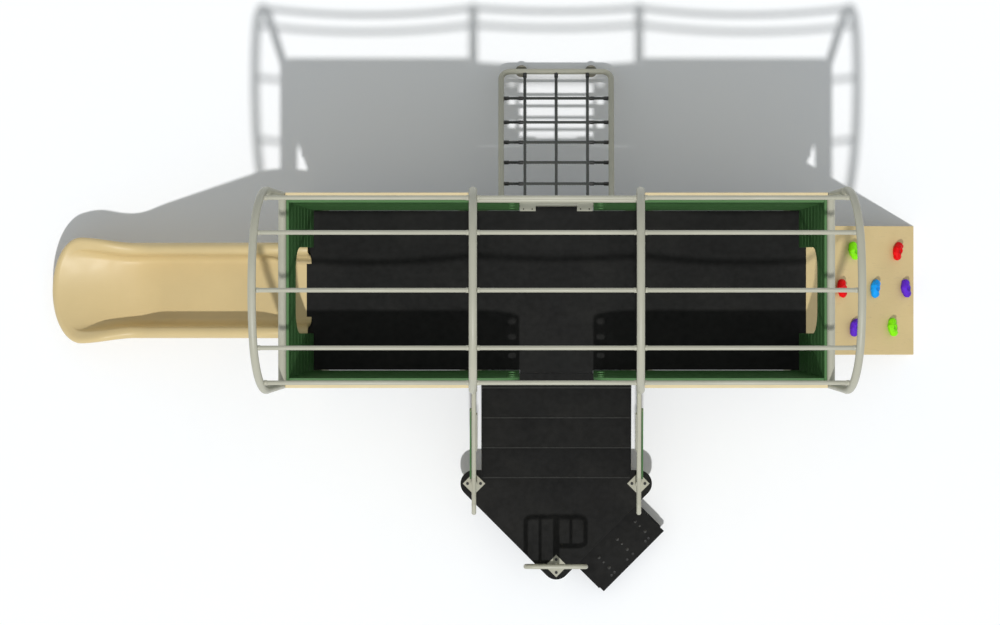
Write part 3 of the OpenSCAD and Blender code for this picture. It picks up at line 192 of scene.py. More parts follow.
def powder_coat():
    """Satin powder coat on steel tube: a fine orange peel, slow tone changes, dark specks, duller patches."""
    f = Finish("tube_paint", 0.42, 0.0, 0.4)
    tone = f.mottled(srgb(176, 174, 157), 0.93, 1.05, 2.3, 4)
    specks = f.spread(f.noise(310, 2), 0.68, 0.74)
    f.colour(f.over(tone, srgb(136, 133, 118), specks, 0.35))
    f.roughness(0.34, 0.52, 11, 4, 0.75)
    f.bump(f.noise(620, 2), 0.10, 0.0006)
    return f.done()


def sheet_plastic(name, base, top_colour_and_highlight, grain=0.22):
    """Coloured polyethylene sheet: a pebbled face, faint scratches, and a paler colour on faces that look up,
    partly the cut edges' own paler tone and partly a painted highlight on the top edges.
    """
    f = Finish(name, 0.5, 0.0, 0.35)
    tone = f.mottled(base, 0.90, 1.08, 3.1, 5)
    along = f.stretched(2.0, 60.0, 60.0)
    scratch = f.spread(f.noise(9.0, 6, 0.7, 0.3, along), 0.60, 0.72)
    tone = f.over(tone, scaled(base, 1.5), scratch, 0.16)
    # Faces that look up get the paler colour: the cut edges' paler tone with a painted highlight where light
    # falls on them.
    f.colour(f.over(tone, top_colour_and_highlight, f.upward(0.75, 0.98), 0.55))
    f.roughness(0.42, 0.60, 17, 4)
    f.bump(f.cells(420), grain, 0.0008)
    f.bump(f.noise(6.5, 2), 0.10, 0.004)
    return f.done()


def climb_sheet():
    """The climbing wall's sheet: the pebbled face with rubbed streaks down the wall."""
    f = Finish("climb_panel", 0.52, 0.0, 0.3)
    tone = f.mottled(srgb(213, 189, 137), 0.94, 1.04, 2.7, 5)
    down = f.stretched(5.0, 34.0, 5.0)
    scuff = f.spread(f.noise(2.2, 7, 0.65, 0.6, down), 0.57, 0.75)
    f.colour(f.over(tone, srgb(150, 134, 104), scuff, 0.22))
    f.roughness(0.44, 0.62, 14, 4)
    f.bump(f.cells(380), 0.25, 0.0009)
    return f.done()


def moulded_slide():
    """Rotationally moulded plastic: slow mottling, a soft waviness, and fine scuffs along the way down."""
    f = Finish("slide_plastic", 0.4, 0.0, 0.35)
    tone = f.mottled(srgb(210, 187, 137), 0.95, 1.04, 1.9, 5, 0.55)
    specks = f.spread(f.noise(190, 3), 0.63, 0.72)
    tone = f.over(tone, srgb(168, 142, 96), specks, 0.10)
    along = f.stretched(1.6, 90.0, 8.0)
    scuff = f.spread(f.noise(3.4, 8, 0.72, 0.25, along), 0.58, 0.76)
    scuff = f.times(scuff, f.upward(0.55, 0.98))
    f.colour(f.over(tone, srgb(236, 222, 186), scuff, 0.20))
    f.roughness(0.32, 0.50, 7, 5)
    f.bump(f.noise(260, 2), 0.12, 0.0006)
    f.bump(f.noise(4.5, 2), 0.16, 0.005)
    return f.done()


def deck_coating():
    """Thick dipped coating on the decks and steps: leathery grain, thin dust on what looks up."""
    f = Finish("deck_coating", 0.66, 0.0, 0.10)
    tone = f.mottled(srgb(26, 26, 25), 0.82, 1.12, 4.0, 6)
    dust = f.times(f.spread(f.noise(2.6, 8, 0.62), 0.48, 0.72), f.upward(0.6, 0.98))
    f.colour(f.over(tone, srgb(82, 79, 73), dust, 0.07))
    f.roughness(0.52, 0.74, 24, 5)
    f.bump(f.cells(240), 0.30, 0.0012)
    f.bump(f.noise(780, 2), 0.12, 0.0004)
    return f.done()


def twisted_rope():
    """Steel-cored polyester rope: fine rough fibres, dark and pale, with a little sheen."""
    f = Finish("rope", 0.82, 0.0, 0.2)
    base = srgb(76, 78, 75)
    fibre = f.spread(f.noise(520, 5, 0.65), 0.35, 0.7)
    f.colour(f.mix(fibre, scaled(base, 0.72), scaled(base, 1.25)))
    f.shader.inputs["Sheen Weight"].default_value = 0.15
    f.shader.inputs["Sheen Roughness"].default_value = 0.5
    f.bump(f.noise(900, 4, 0.7), 0.5, 0.0008)
    return f.done()


def pressed_metal(name, base, metallic, roughness):
    """Pressed or turned metal: a finely marked face of slightly uneven tone."""
    f = Finish(name, roughness, metallic, 0.5)
    f.colour(f.mottled(base, 0.85, 1.12, 46, 4))
    f.roughness(roughness * 0.85, roughness * 1.2, 130, 3)
    f.bump(f.noise(900, 2), 0.10, 0.0003)
    return f.done()


def cast_hold(name, base):
    """Cast resin holds: a sandy grip texture in a mottled colour."""
    f = Finish(name, 0.52, 0.0, 0.16)
    f.colour(f.mottled(base, 0.78, 1.05, 26, 5))
    f.roughness(0.40, 0.60, 70, 3)
    f.bump(f.noise(430, 4, 0.65), 0.45, 0.0011)
    f.bump(f.cells(700), 0.15, 0.0006)
    return f.done()


def shaded_foot_paint():
    """Tube paint darkened for the net's feet: painted shade where they sit under the net's lower tube."""
    f = Finish("shaded_foot_paint", 0.6, 0.0, 0.2)
    f.colour(f.mottled(srgb(128, 125, 112), 0.8, 1.12, 60, 6))
    f.bump(f.noise(420, 3), 0.2, 0.0006)
    return f.done()


def nosing_highlight_coating():
    """The deck coating painted paler for the stair nosings: a painted highlight where their rounded fronts
    catch the sun.
    """
    f = Finish("nosing_highlight_coating", 0.5, 0.0, 0.1)
    f.colour(f.mottled(srgb(42, 42, 40), 0.75, 1.25, 34, 6))
    f.bump(f.cells(240), 0.25, 0.001)
    return f.done()


GREEN = srgb(58, 98, 52)
FINISHES = {
    "tube_paint": powder_coat(),
    # The second colour of each sheet goes on its up-facing faces: paler cut edges with a painted highlight.
    "green_panel": sheet_plastic("green_panel", GREEN, srgb(84, 126, 76)),
    "beige_panel": sheet_plastic("beige_panel", srgb(212, 192, 146), srgb(228, 210, 168), 0.15),
    "climb_panel": climb_sheet(),
    "slide_plastic": moulded_slide(),
    "deck_coating": deck_coating(),
    # The nosing beads' paler coating is a painted highlight.
    "nosing": nosing_highlight_coating(),
    "foot": shaded_foot_paint(),
    "stair_panel": sheet_plastic("stair_panel", GREEN, srgb(134, 142, 112)),
    "dark_bolt": pressed_metal("dark_bolt", srgb(22, 22, 22), 0.0, 0.5),
    "rope": twisted_rope(),
    "ferrule": pressed_metal("ferrule", srgb(48, 48, 47), 0.4, 0.45),
    "bolt_steel": pressed_metal("bolt_steel", srgb(70, 70, 68), 0.8, 0.38),
}
HOLD_COLOURS = {
    "hold_lime": srgb(138, 240, 12),
    "hold_red": srgb(232, 4, 10),
    "hold_blue": srgb(16, 158, 246),
    "hold_purple": srgb(100, 42, 206),
}
for slot_name, tone in HOLD_COLOURS.items():
    FINISHES[slot_name] = cast_hold(slot_name, tone)
    # Each hold's bolts take its colour at 0.55: painted shade of the bolt's recess.
    FINISHES[slot_name + "_bolt"] = pressed_metal(slot_name + "_bolt", scaled(tone, 0.55), 0.0, 0.5)
SLOT_OF = {s["node"]: s["material_slot"] for s in frame["record"]["subparts"]}

for node_name, slot_name in SLOT_OF.items():
    slots = NODES[node_name].material_slots
    if not slots:
        NODES[node_name].data.materials.append(FINISHES[slot_name])
    for place in slots:
        place.material = FINISHES[slot_name]


# Meshes

def piece(name, verts, faces, slot, replaced=(), smooth=True):
    """A new piece from vertices in metres, riding on the part."""
    mesh = bpy.data.meshes.new(name)
    mesh.from_pydata([tuple(v) for v in verts], [], [tuple(int(i) for i in f) for f in faces])
    mesh.validate()
    if smooth:
        mesh.shade_smooth()
    made = bpy.data.objects.new(name, mesh)
    bpy.context.scene.collection.objects.link(made)
    mesh.materials.append(FINISHES[slot])
    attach(made, "root")
    if replaced:
        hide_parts(*replaced)
    return made


def repaint(made, finish):
    """Shows another finish than that of the piece's slot."""
    made.data.materials[0] = FINISHES[finish]
    return made


SAME_POINT = 3e-5
FLAT_ANGLE, SHARP_ANGLE = math.radians(0.6), math.radians(38)


def rounded_copy(node, width, segments=2):
    """A copy of a CAD node's solid with its sharp edges rounded, shown in its place."""
    bm = bmesh.new()
    bm.from_mesh(NODES[node].data)
    bmesh.ops.remove_doubles(bm, verts=bm.verts, dist=SAME_POINT)
    bmesh.ops.dissolve_limit(bm, angle_limit=FLAT_ANGLE, verts=bm.verts, edges=bm.edges)
    bm.verts.index_update()
    verts = [v.co.copy() for v in bm.verts]
    faces = [[v.index for v in f.verts] for f in bm.faces]
    bm.free()
    made = piece(node + "_shell", verts, faces, SLOT_OF[node], (node,))
    bevel = made.modifiers.new("round", "BEVEL")
    bevel.width = width / 1000
    bevel.segments = segments
    bevel.limit_method = "ANGLE"
    bevel.angle_limit = SHARP_ANGLE
    bevel.use_clamp_overlap = False
    bevel.harden_normals = True
    return made


def turned(profile, sides):
    """Vertices and faces of a turned shape from (radius, height) pairs, first and last closed. Axis +Z."""
    verts, faces = [], []
    for radius, height in profile:
        for k in range(sides):
            a = 2 * math.pi * k / sides
            verts.append(Vector((radius * math.cos(a), radius * math.sin(a), height)))
    for j in range(len(profile) - 1):
        for k in range(sides):
            n = (k + 1) % sides
            faces.append([j * sides + k, j * sides + n, (j + 1) * sides + n, (j + 1) * sides + k])
    faces.append(list(range(sides))[::-1])
    faces.append([(len(profile) - 1) * sides + k for k in range(sides)])
    return verts, faces


def copies(name, shape, places, slot, replaced=()):
    """One piece from a small shape in millimetres, set at (point in metres, direction) places."""
    verts, faces = [], []
    for point, direction in places:
        turn = Vector(direction).normalized().to_track_quat("Z", "Y").to_matrix()
        base = len(verts)
        verts += [point + turn @ v / 1000 for v in shape[0]]
        faces += [[base + i for i in f] for f in shape[1]]
    return piece(name, verts, faces, slot, replaced)


BOLT_SIDES = 24
WASHER_H = 1.6
HEX_R, HEX_DEPTH = 0.42, 0.75  # shares of the head's radius and height


def dome_bolt(head_r, head_h, recess=True):
    """A button-head bolt with a washer and a six-sided recess."""
    profile = [(head_r + 3.2, -0.6), (head_r + 3.2, 1.0), (head_r + 2.4, WASHER_H), (head_r, WASHER_H)]
    for degrees in range(15, 76, 15):
        a = math.radians(degrees)
        profile.append((head_r * math.cos(a), WASHER_H + head_h * math.sin(a)))
    verts, faces = turned(profile, BOLT_SIDES)
    if recess:
        faces.pop()
        ring = (len(profile) - 1) * BOLT_SIDES
        mouth, floor = ring + BOLT_SIDES, ring + 2 * BOLT_SIDES
        top = profile[-1][1]
        for height in (top, top - head_h * HEX_DEPTH):
            for k in range(BOLT_SIDES):
                a = 2 * math.pi * k / BOLT_SIDES
                six = math.cos(math.pi / 6) / math.cos((a % (math.pi / 3)) - math.pi / 6)
                reach = head_r * HEX_R * six
                verts.append(Vector((reach * math.cos(a), reach * math.sin(a), height)))
        for k in range(BOLT_SIDES):
            n = (k + 1) % BOLT_SIDES
            faces.append([ring + k, ring + n, mouth + n, mouth + k])
            faces.append([mouth + k, mouth + n, floor + n, floor + k])
        faces.append([floor + k for k in range(BOLT_SIDES)])
    return verts, faces


# Slide chute: the same centre line and section as in the source, drawn finely

SLIDE_TIP, EXIT_Z, RUN_OUT, RUN_A, EXIT_ROUND = 3724.0, 224.0, 594.0, math.radians(4), 220.0
ENTRY_FLAT, TOP_R, FOOT_R = 62.0, 400.0, 500.0
CHUTE_HALF, EXIT_HALF, SHELL_T = 352.0, 391.0, 9.0
WALL_H, ENTRY_H, EXIT_H, DISH = 208.0, 150.0, 140.0, 100.0
# The walls end between these places. The next four are from the end of the lower bend.
FADE_FROM, FADE_TO = SLIDE_TIP - 444, SLIDE_TIP - 104
STEP_FROM, STEP_TO, WIDE_FROM, DISH_FROM = -380, 170, -30, -280
# The half section from bed to lip: in from the edge, share of the wall's height, down from there
SECTION = np.array([
    (157, 0, 0), (143, 0.012, 0), (128, 0.06, 0), (114, 0.16, 0), (103, 0.32, 0), (97, 0.52, 0),
    (93, 0.70, 0), (86, 0.85, 0), (75, 0.94, 0), (60, 0.985, 0), (45, 1, 0), (28, 1, 4), (12, 1, 17),
    (2, 1, 36), (0, 1, 58), (0, 1, 78),
])


def spline(rows, steps):
    """The rows of numbers with smooth steps between them."""
    rows = np.vstack([2 * rows[0] - rows[1], rows, 2 * rows[-1] - rows[-2]])
    out = []
    for k in range(1, len(rows) - 2):
        a, b, c, d = rows[k - 1:k + 3]
        square, cube = 2 * a - 5 * b + 4 * c - d, 3 * b - a - 3 * c + d
        for t in np.arange(steps) / steps:
            out.append(0.5 * (2 * b + (c - a) * t + square * t ** 2 + cube * t ** 3))
    return np.array(out + [rows[-2]])


def part_way(x, a, b):
    t = min(max((x - a) / (b - a), 0.0), 1.0)
    return t * t * (3 - 2 * t)


def slide_rows():
    """Rows of place on the centre line, slope, turn round the exit, half width, wall height and dish."""
    def arm(a):
        return np.array([math.sin(a), math.cos(a)])

    # The two bends' centres, and the straight from p to q that touches both bends
    foot_end = np.array([SLIDE_TIP - RUN_OUT, EXIT_Z + RUN_OUT * math.tan(RUN_A)])
    top_c = np.array([DECK_END + ENTRY_FLAT, DECK_Z - TOP_R])
    foot_c = foot_end + FOOT_R * arm(RUN_A)
    between = foot_c - top_c
    slope = math.asin((TOP_R + FOOT_R) / np.hypot(*between)) - math.atan2(between[1], between[0])
    p = top_c + TOP_R * arm(slope)
    q = foot_c - FOOT_R * arm(slope)
    pivot = np.array([SLIDE_TIP - EXIT_ROUND, EXIT_Z + EXIT_ROUND * math.tan(RUN_A)])
    back = EXIT_ROUND / math.cos(RUN_A)
    foot_x = foot_end[0]

    def high(x):
        if x < p[0]:
            return ENTRY_H + (WALL_H - ENTRY_H) * part_way(x, DECK_END, p[0])
        low = WALL_H - (WALL_H - EXIT_H) * part_way(x, foot_x + STEP_FROM, foot_x + STEP_TO)
        return low * (1 - part_way(x, FADE_FROM, FADE_TO))

    def wide(x):
        return CHUTE_HALF + (EXIT_HALF - CHUTE_HALF) * part_way(x, foot_x + WIDE_FROM, pivot[0])

    def dish(x):
        return DISH * part_way(x, foot_x + DISH_FROM, pivot[0])

    line = [((DECK_END + x, DECK_Z), 0.0) for x in (-60, -30, 0, 30)]
    line += [(top_c + TOP_R * arm(a), a) for a in np.linspace(0, slope, 22)]
    line += [(p + (q - p) * t, slope) for t in np.linspace(0, 1, 14)[1:]]
    line += [(foot_c - FOOT_R * arm(a), a) for a in np.linspace(slope, RUN_A, 18)[1:]]
    line += [(foot_end + (pivot - foot_end) * t, RUN_A) for t in np.linspace(0, 1, 22)[1:]]
    side = [(c, a, 0.0, wide(c[0]), high(c[0]), dish(c[0])) for c, a in line]
    fan = []
    for turn in np.linspace(0, math.pi, 57)[1:-1]:
        reach = back * EXIT_HALF / math.hypot(EXIT_HALF * math.sin(turn), back * math.cos(turn))
        fan.append((pivot, RUN_A, turn, reach, high(pivot[0] + reach * math.sin(turn)), DISH))
    return side + fan + [(c, a, math.pi, w, h, d) for c, a, _, w, h, d in side[::-1]]


def slide_mesh():
    """The slide's skin as a grid: a row for each place down the slide, upper face, rim and lower face."""
    fine = spline(SECTION, 4)
    flat = np.linspace(0, 1, 9)[:-1]
    rim_steps = 6
    verts, cols = [], 0
    for centre, slope, turn, reach, high, dish in slide_rows():
        out = np.concatenate([(reach - fine[0][0]) * flat, reach - fine[:, 0]])
        up = np.concatenate([0 * flat, high * fine[:, 1] - fine[:, 2]])
        # The lower face lies a shell's thickness under the upper one, and a half round joins them at the lip.
        d = np.stack([np.gradient(out), np.gradient(up)])
        d /= np.hypot(*d)
        d[:, 0] = (1, 0)
        low_out, low_up = out + SHELL_T * d[1], up - SHELL_T * d[0]
        mid = np.array([(out[-1] + low_out[-1]) / 2, (up[-1] + low_up[-1]) / 2])
        arm = np.array([out[-1], up[-1]]) - mid
        rim = []
        for k in range(1, rim_steps):
            a = math.pi * k / rim_steps
            rim.append(mid + arm * math.cos(a) + d[:, -1] * SHELL_T / 2 * math.sin(a))
        rim = np.array(rim)
        o = np.concatenate([out, rim[:, 0], low_out[::-1]])
        u = np.concatenate([up, rim[:, 1], low_up[::-1]])
        cols = len(o)
        along = o * math.sin(turn)
        y = o * math.cos(turn)
        u = u + dish * (y / EXIT_HALF) ** 2
        x = -(centre[0] + along * math.cos(slope) + u * math.sin(slope))
        z = centre[1] - along * math.sin(slope) + u * math.cos(slope)
        verts += [at(*v) for v in zip(x, y, z)]
    rows = len(verts) // cols
    faces = [[r * cols + c, r * cols + c + 1, (r + 1) * cols + c + 1, (r + 1) * cols + c]
             for r in range(rows - 1) for c in range(cols - 1)]
    return verts, faces, rows, cols


def make_slide():
    verts, faces, rows, cols = slide_mesh()
    faces += [list(range(cols)), [(rows - 1) * cols + c for c in range(cols)][::-1]]
    bm = bmesh.new()
    made = [bm.verts.new(v) for v in verts]
    for f in faces:
        bm.faces.new([made[i] for i in f])
    bmesh.ops.remove_doubles(bm, verts=bm.verts, dist=1e-5)
    bmesh.ops.recalc_face_normals(bm, faces=bm.faces)
    # The end wall and the deck's corner cut the chute where it meets the wagon.
    lean = Vector((-math.cos(END_LEAN), 0, -math.sin(END_LEAN)))
    trim(bm, at(-END_HOOP_X, 0, DECK_Z) - lean * ((HOOP_R - SEAT) / 1000), -lean)
    low_z, low_x = (DECK_Z + 0.31) / 1000, at(-DECK_END - 0.5, 0, 0).x
    low = [f for f in bm.faces if all(v.co.z < low_z and v.co.x > low_x for v in f.verts)]
    bmesh.ops.delete(bm, geom=low, context="FACES")
    bm.verts.index_update()
    out = [v.co.copy() for v in bm.verts], [[v.index for v in f.verts] for f in bm.faces]
    bm.free()
    piece("slide_bedway", *out, "slide_plastic", ("slide_chute",))


def trim(bm, point, away):
    """Cuts off what lies on the far side of a plane and closes the cut."""
    whole = list(bm.verts) + list(bm.edges) + list(bm.faces)
    cut = bmesh.ops.bisect_plane(bm, geom=whole, plane_co=point, plane_no=away, clear_outer=True)
    edges = [e for e in cut["geom_cut"] if isinstance(e, bmesh.types.BMEdge)]
    bmesh.ops.edgeloop_fill(bm, edges=edges)


make_slide()


# Rope net: ropes laid from three strands

NET_R, NET_HALF, ROPE_PITCH = 21.0, 406.0, 231.0
NET_END = NET_R + SEAT
NET_TOP_Y = LEG_Y0 - HOOP_R - SEAT - PANEL_T - DECK_GAP + FAR_TONGUE + NET_R + SEAT
NET_TOP_Z, NET_FOOT_Y, NET_FOOT_Z = DECK_Z - NET_R, 1618.0, 85.0
NET_A = math.atan2(NET_TOP_Z - NET_FOOT_Z, NET_FOOT_Y - NET_TOP_Y)
NET_LEN = math.hypot(NET_TOP_Z - NET_FOOT_Z, NET_FOOT_Y - NET_TOP_Y)
ROPE_ROWS = (0.153, 0.313, 0.465, 0.616, 0.797)
STRAND_R, WIND_R = 0.0064, 0.0055
ROPE_LAY, LAY_ANGLE, STRAND_SIDES = 58.0, 0.43, 8
LAYER = 0.5  # the ropes down lie this far under the net's plane, the ropes across this far over it


def on_net(x, run, out=0.0):
    """A point of the net: across, down from the upper tube, out of its plane."""
    y = NET_TOP_Y + run * math.cos(NET_A) + out * math.sin(NET_A)
    z = NET_TOP_Z - run * math.sin(NET_A) + out * math.cos(NET_A)
    return at(x, y, z)


def laid_rope(a, b):
    """Three strands wound round the line from a to b."""
    axis = (b - a).normalized()
    u = axis.orthogonal().normalized()
    v = axis.cross(u)
    length = (b - a).length
    steps = int(length * 1000 / ROPE_LAY * 10)
    sides = STRAND_SIDES
    verts, faces = [], []
    for s in range(3):
        base = len(verts)
        for k in range(steps + 1):
            t = k / steps * length
            phase = 2 * math.pi * (t * 1000 / ROPE_LAY + s / 3)
            out = u * math.cos(phase) + v * math.sin(phase)
            side = (axis.cross(out) * math.cos(LAY_ANGLE) - axis * math.sin(LAY_ANGLE)).normalized()
            centre = a + axis * t + out * WIND_R
            for j in range(sides):
                w = 2 * math.pi * j / sides
                verts.append(centre + (out * math.cos(w) + side * math.sin(w)) * STRAND_R)
        for k in range(steps):
            for j in range(sides):
                n = (j + 1) % sides
                r = base + k * sides
                faces.append([r + j, r + n, r + sides + n, r + sides + j])
        faces.append([base + j for j in range(sides)][::-1])
        faces.append([base + steps * sides + j for j in range(sides)])
    return verts, faces


def make_net():
    lines = []
    for x in (-ROPE_PITCH, 0, ROPE_PITCH):
        lines.append((on_net(x, NET_END, -LAYER), on_net(x, NET_LEN - NET_END, -LAYER)))
    for t in ROPE_ROWS:
        run = t * NET_LEN
        lines.append((on_net(-NET_HALF + NET_END, run, LAYER), on_net(NET_HALF - NET_END, run, LAYER)))
    verts, faces = [], []
    for a, b in lines:
        v, f = laid_rope(a, b)
        faces += [[len(verts) + i for i in face] for face in f]
        verts += v
    piece("net_ropes", verts, faces, "rope", ("rope_net",))


def make_ferrules():
    """Pressed sleeves at the rope ends and beside the outer ropes, each with two crimped waists."""
    profile = [(11.5, 0.4), (13.7, 0.4), (14.5, 1.4), (14.5, 7), (13.7, 9.5), (13.7, 11.5), (14.5, 14),
               (14.5, 20), (13.7, 22.5), (13.7, 24.5), (14.5, 27), (14.5, 32.6), (13.7, 33.6), (11.5, 33.6)]
    past_rope = 13.8
    places = []
    down = (on_net(0, 100) - on_net(0, 0)).normalized()
    across = Vector((1, 0, 0))
    for x in (-ROPE_PITCH, 0, ROPE_PITCH):
        places.append((on_net(x, NET_END), down))
        places.append((on_net(x, NET_LEN - NET_END), -down))
    for t in ROPE_ROWS:
        for s in (-1, 1):
            places.append((on_net(s * (NET_HALF - NET_END), t * NET_LEN), -s * across))
            places.append((on_net(s * (ROPE_PITCH + past_rope), t * NET_LEN), s * across))
    copies("rope_sleeves", turned(profile, 20), places, "ferrule", ("rope_ferrules",))


make_net()
make_ferrules()


# Climbing holds: a smooth blend of balls less a finger pocket and the bolt's recess, found ray by ray

CLIMB_FOOT_X = 2643
CLIMB_A = math.atan2(DECK_Z, CLIMB_FOOT_X - DECK_END - SEAT)
CLIMB_TOP = at(DECK_END + SEAT, 0, DECK_Z)
CLIMB_DOWN = Vector((math.cos(CLIMB_A), 0, -math.sin(CLIMB_A)))
CLIMB_OUT = Vector((math.sin(CLIMB_A), 0, math.cos(CLIMB_A)))
# Down the wall, across it, turn in degrees, finish
HOLDS = [
    (515, 290, 20, "hold_lime"), (1014, 290, -15, "hold_red"), (382, 13, 10, "hold_red"),
    (759, 13, -10, "hold_blue"), (1107, 13, 15, "hold_purple"), (528, -274, -20, "hold_purple"),
    (957, -274, 12, "hold_lime"),
]
HOLD_BALLS = ((-38, -4, 20, 27), (-12, 8, 24, 29), (14, 9, 25, 31), (40, -6, 18, 28), (4, -16, 16, 25))
BALL_BLEND, POCKET_BLEND = 12, 8
POCKET_AT, POCKET_R = (-20, -52, 30), 25
RECESS_R, RECESS_Z = 13, 38
CORE_Z, REACH, HALVINGS = 15.0, 110.0, 22
FACET_SCALE, FACET_H, STRETCH = 0.034, 5.5, (1.05, 1.2, 1.06)


def hold_depth(p):
    """How far outside the hold's surface the points are, in millimetres."""
    d = None
    for x, y, z, r in HOLD_BALLS:
        ball = np.linalg.norm(p - (x, y, z), axis=1) - r
        if d is None:
            d = ball
        else:
            h = np.clip(0.5 + 0.5 * (ball - d) / BALL_BLEND, 0, 1)
            d = ball * (1 - h) + d * h - BALL_BLEND * h * (1 - h)
    pocket = POCKET_R - np.linalg.norm(p - POCKET_AT, axis=1)
    h = np.clip(0.5 - 0.5 * (pocket - d) / POCKET_BLEND, 0, 1)
    d = pocket * (1 - h) + d * h + POCKET_BLEND * h * (1 - h)
    recess = RECESS_R - np.hypot(p[:, 0], p[:, 1])
    return np.maximum(d, np.minimum(recess, p[:, 2] - RECESS_Z))


def hold_shape(seed):
    """One hold: the blend stretched a little and roughened with facets that differ from hold to hold."""
    bm = bmesh.new()
    bmesh.ops.create_icosphere(bm, subdivisions=6, radius=1)
    rays = np.array([v.co for v in bm.verts])
    faces = [[v.index for v in f.verts] for f in bm.faces]
    bm.free()
    start = np.array([0.0, 0.0, CORE_Z])
    near, far = np.zeros(len(rays)), np.full(len(rays), REACH)
    for _ in range(HALVINGS):
        middle = (near + far) / 2
        inside = hold_depth(start + rays * middle[:, None]) < 0
        near, far = np.where(inside, middle, near), np.where(inside, far, middle)
    points = start + rays * near[:, None]
    # Rays that end under the seat stop at it.
    low = points[:, 2] < SEAT
    drop, fall = SEAT - start[2], rays[low][:, 2]
    share = np.minimum(1, near[low] * fall / drop)
    points[low] = start + rays[low] * (drop / fall)[:, None] * share[:, None]
    points[:, 2] = np.maximum(points[:, 2], SEAT)
    made = []
    for p, ray in zip(points, rays):
        place = Vector(p) * FACET_SCALE + Vector((seed * 3.7, seed * 1.9, 0))
        grain = noise.voronoi(place, distance_metric="DISTANCE")[0]
        lump = (grain[1] - grain[0]) * FACET_H + noise.noise(place * 3.1) * 1.2 - 2.4
        # The foot and the bolt's recess stay smooth.
        above = min(1.0, max(0.0, (p[2] - 2) / 12))
        beside = min(1.0, max(0.0, (math.hypot(p[0], p[1]) - 14) / 8))
        p = Vector(p) + Vector(ray) * lump * (above * beside)
        made.append(Vector((p.x * STRETCH[0], p.y * STRETCH[1], max(SEAT, p.z * STRETCH[2]))))
    return made, faces


def make_holds():
    face = Matrix((CLIMB_DOWN, (0, 1, 0), CLIMB_OUT)).transposed()
    for k, (run, across, turn, slot) in enumerate(HOLDS, 1):
        verts, faces = hold_shape(k)
        spin = Matrix.Rotation(math.radians(90 + turn), 3, "Z")
        placed = [CLIMB_TOP + face @ (Vector((run, across, 0)) + spin @ v) / 1000 for v in verts]
        piece(f"grip_{k}", placed, faces, slot, (f"climb_hold_{k}",))


make_holds()


def make_hold_bolts():
    """The hold bolts, in their holds' colour darkened as painted shade of the recess: heads sunk in the
    recess, shanks through the panel.
    """
    profile = [(6, -19), (6, 36.6), (9.2, 36.6), (9.2, 41), (8.4, 42), (5, 42), (4.6, 38.5), (0.6, 38.5)]
    shape = turned(profile, BOLT_SIDES)
    replaced = ("hold_bolts",)
    for slot in HOLD_COLOURS:
        places = []
        for run, across, _, hold_slot in HOLDS:
            if hold_slot == slot:
                places.append((CLIMB_TOP + (CLIMB_DOWN * run + Vector((0, across, 0))) / 1000, CLIMB_OUT))
        repaint(copies(slot + "_bolts", shape, places, "bolt_steel", replaced), slot + "_bolt")
        replaced = ()


make_hold_bolts()


# Boards, decks and plates keep their solids' shape and get rounded edges

SIDES = [f"{row}_{end}" for row in ("near", "far") for end in ("left", "right")]
for side in SIDES:
    rounded_copy("side_panel_" + side, 1.6)
    rounded_copy("entry_panel_" + side, 1.6)
    rounded_copy("outer_panel_" + side, 2.2)
for end in ("left", "right"):
    rounded_copy("end_panel_" + end, 1.6)
    repaint(rounded_copy("stair_panel_" + end, 2.5), "stair_panel")
    rounded_copy("deck_" + end, 3.0, 3)
rounded_copy("deck_centre", 3.0, 3)
rounded_copy("climb_wall_panel", 3.0, 3)
rounded_copy("stair_landing", 3.0, 3)
rounded_copy("stair_treads", 2.4, 3)
rounded_copy("stair_stringers", 2.0)
rounded_copy("transfer_deck", 3.0, 3)
rounded_copy("transfer_step", 3.0, 3)
rounded_copy("step_brackets", 2.0)
rounded_copy("climber_brackets", 1.5)
# The net's feet show the darker tube paint: painted shade under the lower tube.
repaint(rounded_copy("net_feet", 4.0, 3), "foot")


# Bolts of the side and end panels

OUTER_FACE, INNER_FACE = 20.2, -49.5
FROM_MID, FROM_END, FROM_SEAM, FROM_LEG = 51, 53, 19, 22
OUTER_UPS, INNER_UPS, END_UPS = (160, 500, 840), (70, 290, 410, 640, 880), (70, 290, 520, 750, 900)


def leg_y(h):
    return LEG_Y0 + h * math.tan(LEG_TILT)


def on_wall(side_x, side_y, x, out, up):
    """A point on a side wall: along the wagon, out from the legs' centre lines, up along them."""
    y = LEG_Y0 + out * math.cos(LEG_TILT) + up * math.sin(LEG_TILT)
    z = DECK_Z + up * math.cos(LEG_TILT) - out * math.sin(LEG_TILT)
    return at(side_x * x, side_y * y, z)


def on_end(side_x, out, y, up):
    """A point on an end wall: out from the hoop's plane, across, up along the lean."""
    x = END_HOOP_X + out * math.cos(END_LEAN) + up * math.sin(END_LEAN)
    z = DECK_Z + up * math.cos(END_LEAN) - out * math.sin(END_LEAN)
    return at(side_x * x, y, z)


